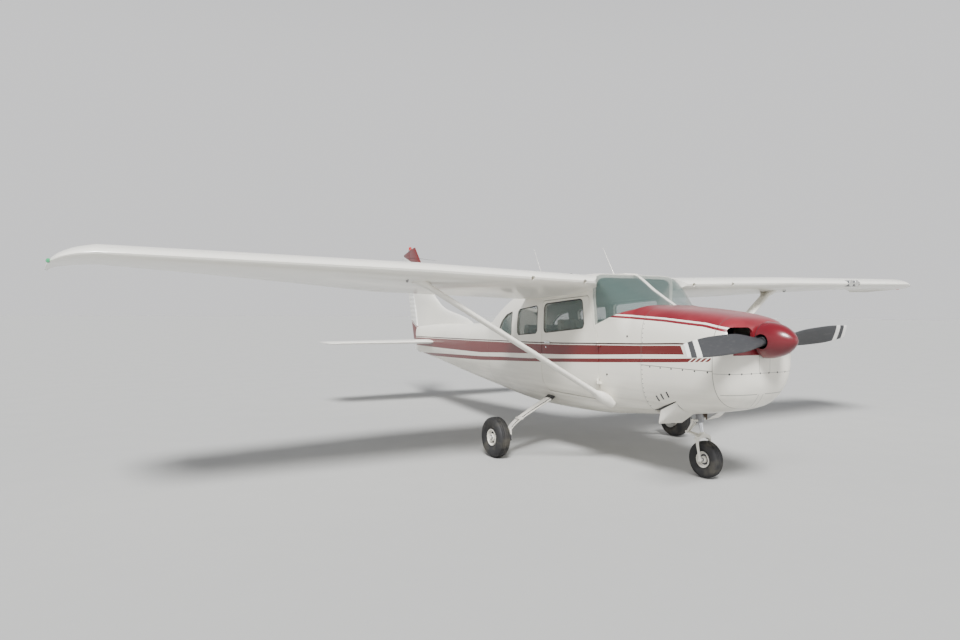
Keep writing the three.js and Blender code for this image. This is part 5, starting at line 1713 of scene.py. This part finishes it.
def makePanel():
    values = panelFittings
    room = body("hollow", 1.45, 2.2, cabin["wall"] + 0.0005)
    station, radius = values["station"], values["dialRadius"]
    board = finished("instrument_board", softSlab((-0.6, 1.762, 1.122), (0.6, station, 1.472), 0.006))
    combine(board, room, "INTERSECT")
    dress(board, "airframe", "panel", ["instrument_panel"])
    shield = finished("glare_shield", softSlab((-0.6, 1.565, 1.472), (0.6, 1.812, 1.499), 0.012, 4))
    combine(shield, room, "INTERSECT")
    dress(shield, "airframe", "dark")
    face, marks, bezels = [], [], []
    for x, z in values["dials"]:
        centre = place(x, station, z)
        ring = [(radius - 0.004, 0.0), (radius - 0.003, 0.007), (radius, 0.008), (radius + 0.003, 0.006),
                (radius + 0.003, -0.002), (radius - 0.004, -0.002)]
        bezels.append(spun([*ring, ring[0]], centre, (0, 1, 0), 32))
        face.append(rod(place(x, station - 0.001, z), place(x, station + 0.002, z), radius - 0.003, 32))
        for i in range(12):
            angle = i * math.pi / 6
            near, far = radius * 0.72, radius * 0.86
            ends = [place(x + r * math.sin(angle), station + 0.0022, z + r * math.cos(angle))
                    for r in (near, far)]
            marks.append(rod(*ends, 0.0009, 6))
        way = (x * 37 + z * 11) % 6  # the needles point in different ways
        needle = radius * 0.66
        tip = place(x + needle * math.sin(way), station + 0.0035, z + needle * math.cos(way))
        marks.append(rod(place(x, station + 0.0035, z), tip, 0.0016, 6, 0.0006))
    assembled("dial_bezels", bezels, "airframe", "dark")
    assembled("dial_faces", face, "airframe", "panel")
    assembled("dial_marks", marks, "airframe", "dial")
    stack, knobs = [], []
    start, pitch, count = values["radios"]
    for i in range(count):
        low = start + i * pitch
        stack.append(softSlab((-0.085, 1.79, low), (0.075, 1.806, low + 0.050), 0.003))
        for x in (-0.070, 0.060):
            knobs.append(rod(place(x, 1.805, low + 0.018), place(x, 1.818, low + 0.018), 0.008, 20, 0.0065))
        for k in range(5):
            left, right = -0.048 + k * 0.019, -0.036 + k * 0.019
            knobs.append(softSlab((left, 1.804, low + 0.006), (right, 1.810, low + 0.012), 0.001))
    z = values["pullHeight"]
    for x, size in values["pulls"]:
        knobs.append(rod(place(x, 1.80, z), place(x, 1.85, z), 0.004, 16))
        knobs.append(rod(place(x, 1.85, z), place(x, 1.872, z), size, 24, size * 0.8))
    for k in range(8):
        x = 0.12 + k * 0.032
        knobs.append(rod(place(x, 1.80, 1.160), place(x, 1.815, 1.164), 0.004, 10, 0.003))
    assembled("radio_stack", stack, "airframe", "dark")
    assembled("panel_knobs", knobs, "airframe", "dial")
    yokes = []
    for x in values["yokes"]:
        yokes.append(rod(place(x, 1.798, 1.31), place(x, 1.962, 1.32), 0.012, 24))
        yokes.append(rod(place(x, 1.945, 1.319), place(x, 1.970, 1.321), 0.034, 32, 0.028))
        grip = values["yokeStation"]
        yokes.append(tube([place(x + across, grip, z) for across, z in values["wheel"]], 0.0125, 16))
        for side in (1, -1):
            ends = place(x + side * 0.108, grip, 1.395), place(x + side * 0.104, grip, 1.416)
            yokes.append(rod(*ends, 0.0125, 16, 0.009))
    assembled("control_wheels", yokes, "airframe", "seal", smooth=40)
    rearRoom = body("hollow", 4.4, 4.6, cabin["wall"] + 0.0015)
    wall = carved("cabin_rear_wall", rearRoom, boxTool((-0.7, 4.5, 0.3), (0.7, 4.515, 2.1)))
    dress(wall, "airframe", "trim", ["rear_bulkhead"])


engine = {"cylinders": (0.675, 0.865, 1.055), "height": 1.19, "fins": 11, "firstFin": 0.135,
          "finPitch": 0.0145,
          "pipe": [(0.30, 0.0, 1.11), (0.31, 0.03, 1.04), (0.28, 0.15, 1.01)],
          "baffles": [((-0.5, 0.555, 1.02), (0.5, 0.562, 1.245)),
                      ((-0.5, 1.175, 1.02), (0.5, 1.181, 1.50))]}


# six finned cylinders on a case, with baffles behind the inlets
def makeEngine():
    parts = [softSlab((-0.13, 0.56, 1.03), (0.13, 1.16, 1.30), 0.03, 3),
             softSlab((-0.10, 0.60, 0.985), (0.10, 1.05, 1.04), 0.02, 2),
             rod(place(0, 0.541, 1.20), place(0, 0.58, 1.20), 0.07, 32),
             softSlab((-0.16, 1.16, 1.02), (0.16, 1.34, 1.28), 0.02, 2)]
    fins = [(0.0, 0.12), (0.075, 0.12)]
    for i in range(engine["fins"]):
        start = engine["firstFin"] + i * engine["finPitch"]
        fins += [(0.062, start), (0.083, start + 0.0015), (0.083, start + 0.0045), (0.062, start + 0.006)]
    fins += [(0.085, 0.305), (0.085, 0.345), (0.06, 0.368), (0.0, 0.368)]
    for side in (1, -1):
        for station in engine["cylinders"]:
            profile = [(radius, side * along) for radius, along in fins]
            parts.append(spun(profile, place(0, station, engine["height"]), (1, 0, 0), 24))
            parts.append(tube([place(side * x, station + s, z) for x, s, z in engine["pipe"]], 0.02, 12))
        parts.append(rod(place(side * 0.285, 0.72, 1.012), place(side * 0.285, 1.34, 1.012), 0.026, 20))
    assembled("engine_block", parts, "airframe", "steel", ["engine"], smooth=40)
    room = body("hollow", 0.5, 1.45, 0.016)
    baffles = finished("engine_baffles", joined([softSlab(*box, 0.001, 1) for box in engine["baffles"]]))
    combine(baffles, room, "INTERSECT")
    dress(baffles, "airframe", "dark")
    plate = carved("firewall_plate", room, boxTool((-0.7, 1.4005, 0.3), (0.7, 1.4145, 2.0)))
    dress(plate, "airframe", "steel", ["firewall"])


makeSeats()
makePanel()
makeEngine()
tidyTools()
print("cabin fittings made")


# Outside fittings

# the fuselage's half-width at a station and height
def sideAt(station, height):
    _, half, top, bottom, widest, above, below, flare = bodyAt(station)
    upper = height > widest
    rise = min((height - widest) / (top - widest) if upper else (widest - height) / (widest - bottom), 1)
    power = above if upper else below
    return half * (1 - rise ** power) ** (1 / power) * (1 + flare * rise ** 2 if upper else 1)


def cornered(points, corner):
    bm = bmesh.new()
    face = roundedFace(bm, [(0, u, v) for u, v in points], corner, 5)
    line = [(vertex.co.y, vertex.co.z) for vertex in face.verts]
    bm.free()
    return line


def alongEdge(points, corner, step=0.03):
    line = cornered(points, corner)
    result = []
    for (u, v), (p, q) in zip(line, line[1:] + line[:1]):
        count = max(1, round(math.hypot(p - u, q - v) / step))
        result += [(u + (p - u) * i / count, v + (q - v) * i / count) for i in range(count)]
    return result


# a closed rubber strip along points that have a direction out of the skin
def sealStrip(points, outs, half, thick):
    rings = []
    count = len(points)
    for i, (point, out) in enumerate(zip(points, outs)):
        along = (Vector(points[(i + 1) % count]) - Vector(points[i - 1])).normalized()
        out = Vector(out).normalized()
        across = along.cross(out).normalized()
        point = Vector(point)
        rings.append([point + across * half * a + out * thick * b for a, b in
                      ((-1, -1), (-1, 0.4), (-0.5, 1), (0.5, 1), (1, 0.4), (1, -1))])
    bm = bmesh.new()
    loops = [[bm.verts.new(corner) for corner in ring] for ring in rings]
    for near, far in zip(loops, loops[1:] + loops[:1]):
        for k in range(6):
            bm.faces.new((near[k], near[(k + 1) % 6], far[(k + 1) % 6], far[k]))
    bmesh.ops.recalc_face_normals(bm, faces=bm.faces)
    return bm


# a direction out of the fuselage's side
def outAt(station, height, side):
    step = 0.004
    width = sideAt(station, height)
    rise = (sideAt(station, height + step) - width) / step
    run = (sideAt(station + step, height) - width) / step
    return side, -run, -rise


seal = {"half": 0.0055, "thick": 0.0025, "sink": -0.001}


def makeSeals():
    for name, side in sides.items():
        holders = {"doorWindow": "door_" + name, "second": "airframe", "third": "airframe"}
        for window, holder in holders.items():
            edge = alongEdge(outlines[window], windowCorner(window))
            points = [place(side * (sideAt(s, z) + seal["sink"]), s, z) for s, z in edge]
            outs = [outAt(s, z, side) for s, z in edge]
            strip = sealStrip(points, outs, seal["half"], seal["thick"])
            made("seal_" + window + "_" + name, strip, holder, "seal", smooth=50)


# station and height of feet and tips, of the mast's corners, and of the whiskers' foot on the fin
aerials = {
    "whips": (((2.453, 2.010), (2.654, 2.331)), ((3.834, 1.885), (4.126, 2.432))),
    "mast": [(3.18, 1.975), (3.27, 1.972), (3.30, 2.055), (3.265, 2.062)], "mastHalf": 0.006,
    "whiskers": (8.20, 2.57), "whiskerReach": (0.34, -0.20, -0.05),
}


def makeAerials():
    parts = []
    for foot, tip in aerials["whips"]:
        start, end = Vector(place(0, *foot)), Vector(place(0, *tip))
        parts.append(rod(start, start.lerp(end, 0.06), 0.013, 16, 0.007))
        parts.append(rod(start.lerp(end, 0.05), end, 0.0042, 12, 0.0016))
    assembled("whip_aerials", parts, "airframe", "plain")
    half = aerials["mastHalf"]
    mast = prism([(s - middle, z) for s, z in aerials["mast"]], "x", -half, half, 0.010)
    assembled("blade_aerial", [mast], "airframe", "dark")
    whiskers = []
    for side in (1, -1):
        start = Vector(place(side * 0.012, *aerials["whiskers"]))
        out, back, up = aerials["whiskerReach"]
        whiskers.append(rod(start, start + Vector((side * out, back, up)), 0.0035, 10, 0.0015))
    whiskers.append(rod(place(-0.016, *aerials["whiskers"]), place(0.016, *aerials["whiskers"]), 0.012, 20))
    assembled("fin_whiskers", whiskers, "airframe", "dark")


# profiles of radius and distance along the axis, and the places of the wing's small fittings
wingFittings = {
    "tipLamp": [(0.0, -0.030), (0.010, -0.027), (0.016, -0.016), (0.018, 0.0), (0.016, 0.020),
                (0.008, 0.034), (0.0, 0.038)],
    "lampX": 5.50, "ringPlace": (2.68, 2.21), "ringHeights": (1.866, 1.85),
    "ring": [(0.014, -0.0035), (0.021, -0.0035), (0.021, 0.0035), (0.014, 0.0035), (0.014, -0.0035)],
    "capX": 1.45, "capShare": 0.28,
    "cap": [(0.0, 0.0025), (0.028, 0.0025), (0.030, 0.004), (0.036, 0.004), (0.040, 0.002), (0.040, -0.004),
            (0.0, -0.004)],
}


# the tip lamp, tie-down ring and fuel cap of each wing
def makeLamps():
    values = wingFittings
    for name, side in sides.items():
        tip, *_ = wingPlace(values["lampX"], side)
        base = Vector(tip(0.05, 0.002)) + Vector((side * 0.015, 0.0, 0.0))
        shell = spun(values["tipLamp"], base, (0, 1, 0.1), 24)
        made("tip_lamp_" + name, shell, "airframe", "redLamp" if side > 0 else "green")
        x, station = values["ringPlace"]
        eye, foot = (place(side * x, station, height) for height in values["ringHeights"])
        lug = [rod(eye, foot, 0.006, 16), spun(values["ring"], eye, (1, 0, 0), 24)]
        assembled("tie_down_ring_" + name, lug, "airframe", "steel")
        upper, chord, thickness = wingPlace(values["capX"], side)
        share = values["capShare"]
        high, _ = foilHeights(share, thickness, foil["camber"])
        centre = Vector(upper(share * chord, high * chord))
        top = Vector(upper(share * chord, high * chord + 0.004)) - centre
        made("fuel_cap_" + name, spun(values["cap"], centre, top, 40), "airframe", "steel")


# the handle's place and its corners round it, the hinge line, and the door's and the cabin's leaves on it
doorFittings = {
    "handle": (2.98, 1.215), "corners": [(-0.062, -0.007), (0.045, -0.006), (0.045, 0.006),
                                         (-0.062, 0.007)],
    "boss": 0.030, "lockDrop": 0.06, "hingeHeights": (0.840, 1.232), "hingeX": 0.574, "hingeStation": 2.027,
    "doorLeaf": (2.030, 0.030, 0.001, 0.026), "cabinLeaf": (2.024, -0.030, -0.026, 0.0),
}


def makeDoorFittings():
    values = doorFittings
    for name, side in sides.items():
        s, z = values["handle"]
        skinX = sideAt(s, z)
        boss = s + values["boss"]
        lock = z - values["lockDrop"]
        low, high = sorted((side * (skinX + 0.006), side * (skinX + 0.014)))
        handle = [prism([(s + u - middle, z + v) for u, v in values["corners"]], "x", low, high, 0.004)]
        for height, inside, outside, radius in ((z, 0.004, 0.012, 0.012), (lock, 0.006, 0.002, 0.010)):
            ends = [place(side * (skinX + out), boss, height) for out in (-inside, outside)]
            handle.append(rod(*ends, radius, 24))
        assembled("door_handle_" + name, handle, "door_" + name, "chrome")
        hinges, leaves = [], []
        for height in values["hingeHeights"]:
            for kind, group in (("doorLeaf", leaves), ("cabinLeaf", hinges)):
                near, wide, foot, head = values[kind]
                bottom, top = height + foot, height + head
                x, station = values["hingeX"], values["hingeStation"]
                pin = [place(side * x, station, z) for z in (bottom, top)]
                group.append(rod(*pin, 0.007, 20))
                skinX = sideAt(near + wide * 0.5, (bottom + top) / 2)
                low, high = sorted((side * (skinX - 0.012), side * (x - 0.001)))
                front, back = sorted((near, near + wide))
                group.append(softSlab((low, front, bottom), (high, back, top), 0.001, 1))
        assembled("door_hinge_leaves_" + name, leaves, "door_" + name, "fuselage")
        assembled("cabin_hinge_leaves_" + name, hinges, "airframe", "fuselage")


# station and height of each louvre, of the latch and of a hole, and the heights of points along a louvre
cowlFittings = {
    "louvres": ((1.238, 0.747), (1.172, 0.772), (1.096, 0.799)),
    "louvreRises": (-0.026, -0.013, 0.0, 0.013, 0.026),
    "louvreLean": 0.25, "louvreRadius": 0.008, "latchAndHoleShade": ((1.599, 1.335), (1.898, 0.925)),
}


def makeCowlLouvres():
    values = cowlFittings
    for name, side in sides.items():
        slotShades = []
        # each louvre is a dark rod on the skin: painted shade, standing for the shadow in its slot
        for s, z in values["louvres"]:
            points = [(s + rise * values["louvreLean"], z + rise) for rise in values["louvreRises"]]
            path = [place(side * (sideAt(u, v) - 0.001), u, v) for u, v in points]
            slotShades.append(tube(path, values["louvreRadius"], 10))
        assembled("cowl_louvres_" + name, slotShades, "airframe", "dark")
        latchAndHoleShade = []
        # the first disc is a latch; the second is a dark disc on the skin: painted shade, standing for the
        # shadow in a hole
        for s, z in values["latchAndHoleShade"]:
            ends = [place(side * (sideAt(s, z) + out), s, z) for out in (-0.004, 0.004)]
            latchAndHoleShade.append(rod(*ends, 0.010, 16))
        assembled("cowl_latches_" + name, latchAndHoleShade, "airframe", "dark")


topFittings = {
    "beacon": (8.445, 2.715), "beaconBase": 0.018,
    "dome": [(0.0, 0.018), (0.029, 0.018), (0.029, 0.056), (0.025, 0.070), (0.016, 0.081), (0.0, 0.086)],
    "vent": ((-0.10, 2.16, 1.992), (0.10, 2.30, 2.008)),
}


def makeTopFittings():
    values = topFittings
    station, height = values["beacon"]
    foot, rim = place(0, station, height), place(0, station, height + values["beaconBase"])
    assembled("beacon_base", [rod(foot, rim, 0.036, 32, 0.031)], "airframe", "steel")
    made("beacon_dome", spun(values["dome"], foot, (0, 0, 1), 32), "airframe", "beacon", smooth=50)
    made("roof_vent_cover", softSlab(*values["vent"], 0.006, 3), "airframe", "plain")


landingLamp = {"grow": 0.0012, "depth": 0.05, "inset": 0.075,
               "profile": [(0.0, -0.004), (0.042, -0.004), (0.048, 0.002), (0.042, 0.004), (0.0, 0.002)]}


# a cover on the left wing's front edge, dark and glossy: painted shade of the lamp bay behind the real clear
# cover; two lamps lie behind it
def makeLandingLamp():
    start, end = wing["lens"]
    skinPart = wingLoft("landing_lamp_lens", 1, start, end, landingLamp["grow"])
    front, *_ = wingPlace((start + end) / 2, 1)
    _, y, z = front(0, 0)
    depth = landingLamp["depth"]
    keep = cutter(slab((start - 0.1, y - depth, z - 0.3), (end + 0.1, y + depth, z + 0.3)))
    combine(skinPart, keep, "INTERSECT")
    dress(skinPart, "airframe", "shadedLampCover")
    lamps = []
    for x in (start + landingLamp["inset"], end - landingLamp["inset"]):
        spot, *_ = wingPlace(x, 1)
        lamps.append(spun(landingLamp["profile"], spot(0.004, 0.0), (0, 1, 0.05), 32))
    assembled("landing_lamps", lamps, "airframe", "disc")


def makeLining():
    shell = skin("lining", 1.43, 4.62, cabin["wall"] + 0.0005, cabin["wall"] + 0.0030)
    holes = [acrossTool("windshield", 0.012), rearTool(0.010), underTool(cabin["floor"] + 0.002)]
    holes += [doorTool(side, cabin["gap"]) for side in (1, -1)]
    holes += [windowTool(window, side, 0.004) for window in ("second", "third") for side in (1, -1)]
    dress(carved("cabin_lining", shell, less=holes), "airframe", "trim")
    for name, side in sides.items():
        piece = carved("door_lining_" + name, shell, doorTool(side, -0.004),
                       [windowTool("doorWindow", side, 0.004)])
        dress(piece, "door_" + name, "trim")
    dropped(shell)


makeLining()
makeCowlLouvres()
makeTopFittings()
makeLandingLamp()
makeSeals()
makeAerials()
makeLamps()
makeDoorFittings()
tidyTools()
print("outside fittings made")


# Stage: a pale floor and soft studio light

stage = {"floor": (0.40, 0.40, 0.39), "horizon": (0.94, 0.94, 0.95), "zenith": (0.24, 0.26, 0.30),
         "radius": 150}
lights = {
    "sun": {"power": 7.4, "angle": 0.30, "place": (-5, -8, 13)},
    "fill": {"power": 260, "size": 8, "place": (8, -13, 5)},
}


def studioWorld():
    world = bpy.data.worlds.new("studio")
    world.use_nodes = True
    background = world.node_tree.nodes["Background"]
    way = addNode(world, "SeparateXYZ")
    feed(world, addNode(world, "TexCoord").outputs["Generated"], way.inputs[0])
    height = ranged(world, way.outputs[2], 0.30, 0.95)
    feed(world, mixed(world, height, stage["horizon"], stage["zenith"]), background.inputs[0])
    bpy.context.scene.world = world


def makeStage():
    bm = bmesh.new()
    bmesh.ops.create_circle(bm, cap_ends=True, segments=96, radius=stage["radius"])
    bmesh.ops.translate(bm, vec=(0, 0, -0.001), verts=bm.verts)
    floor = finished("floor", bm)
    floor.data.materials.append(glossy("floor_paint", stage["floor"], 0.8, grain=2.0, spread=0.05))
    studioWorld()
    for name, values in lights.items():
        kind = "AREA" if "size" in values else "SUN"
        data = bpy.data.lights.new(name, kind)
        data.energy = values["power"]
        if kind == "AREA":
            data.size = values["size"]
        else:
            data.angle = values["angle"]
        light = bpy.data.objects.new(name, data)
        light.location = values["place"]
        aim = Vector((0, 0, 1)) - Vector(values["place"])
        light.rotation_euler = aim.to_track_quat("-Z", "Y").to_euler()
        bpy.context.scene.collection.objects.link(light)


makeStage()
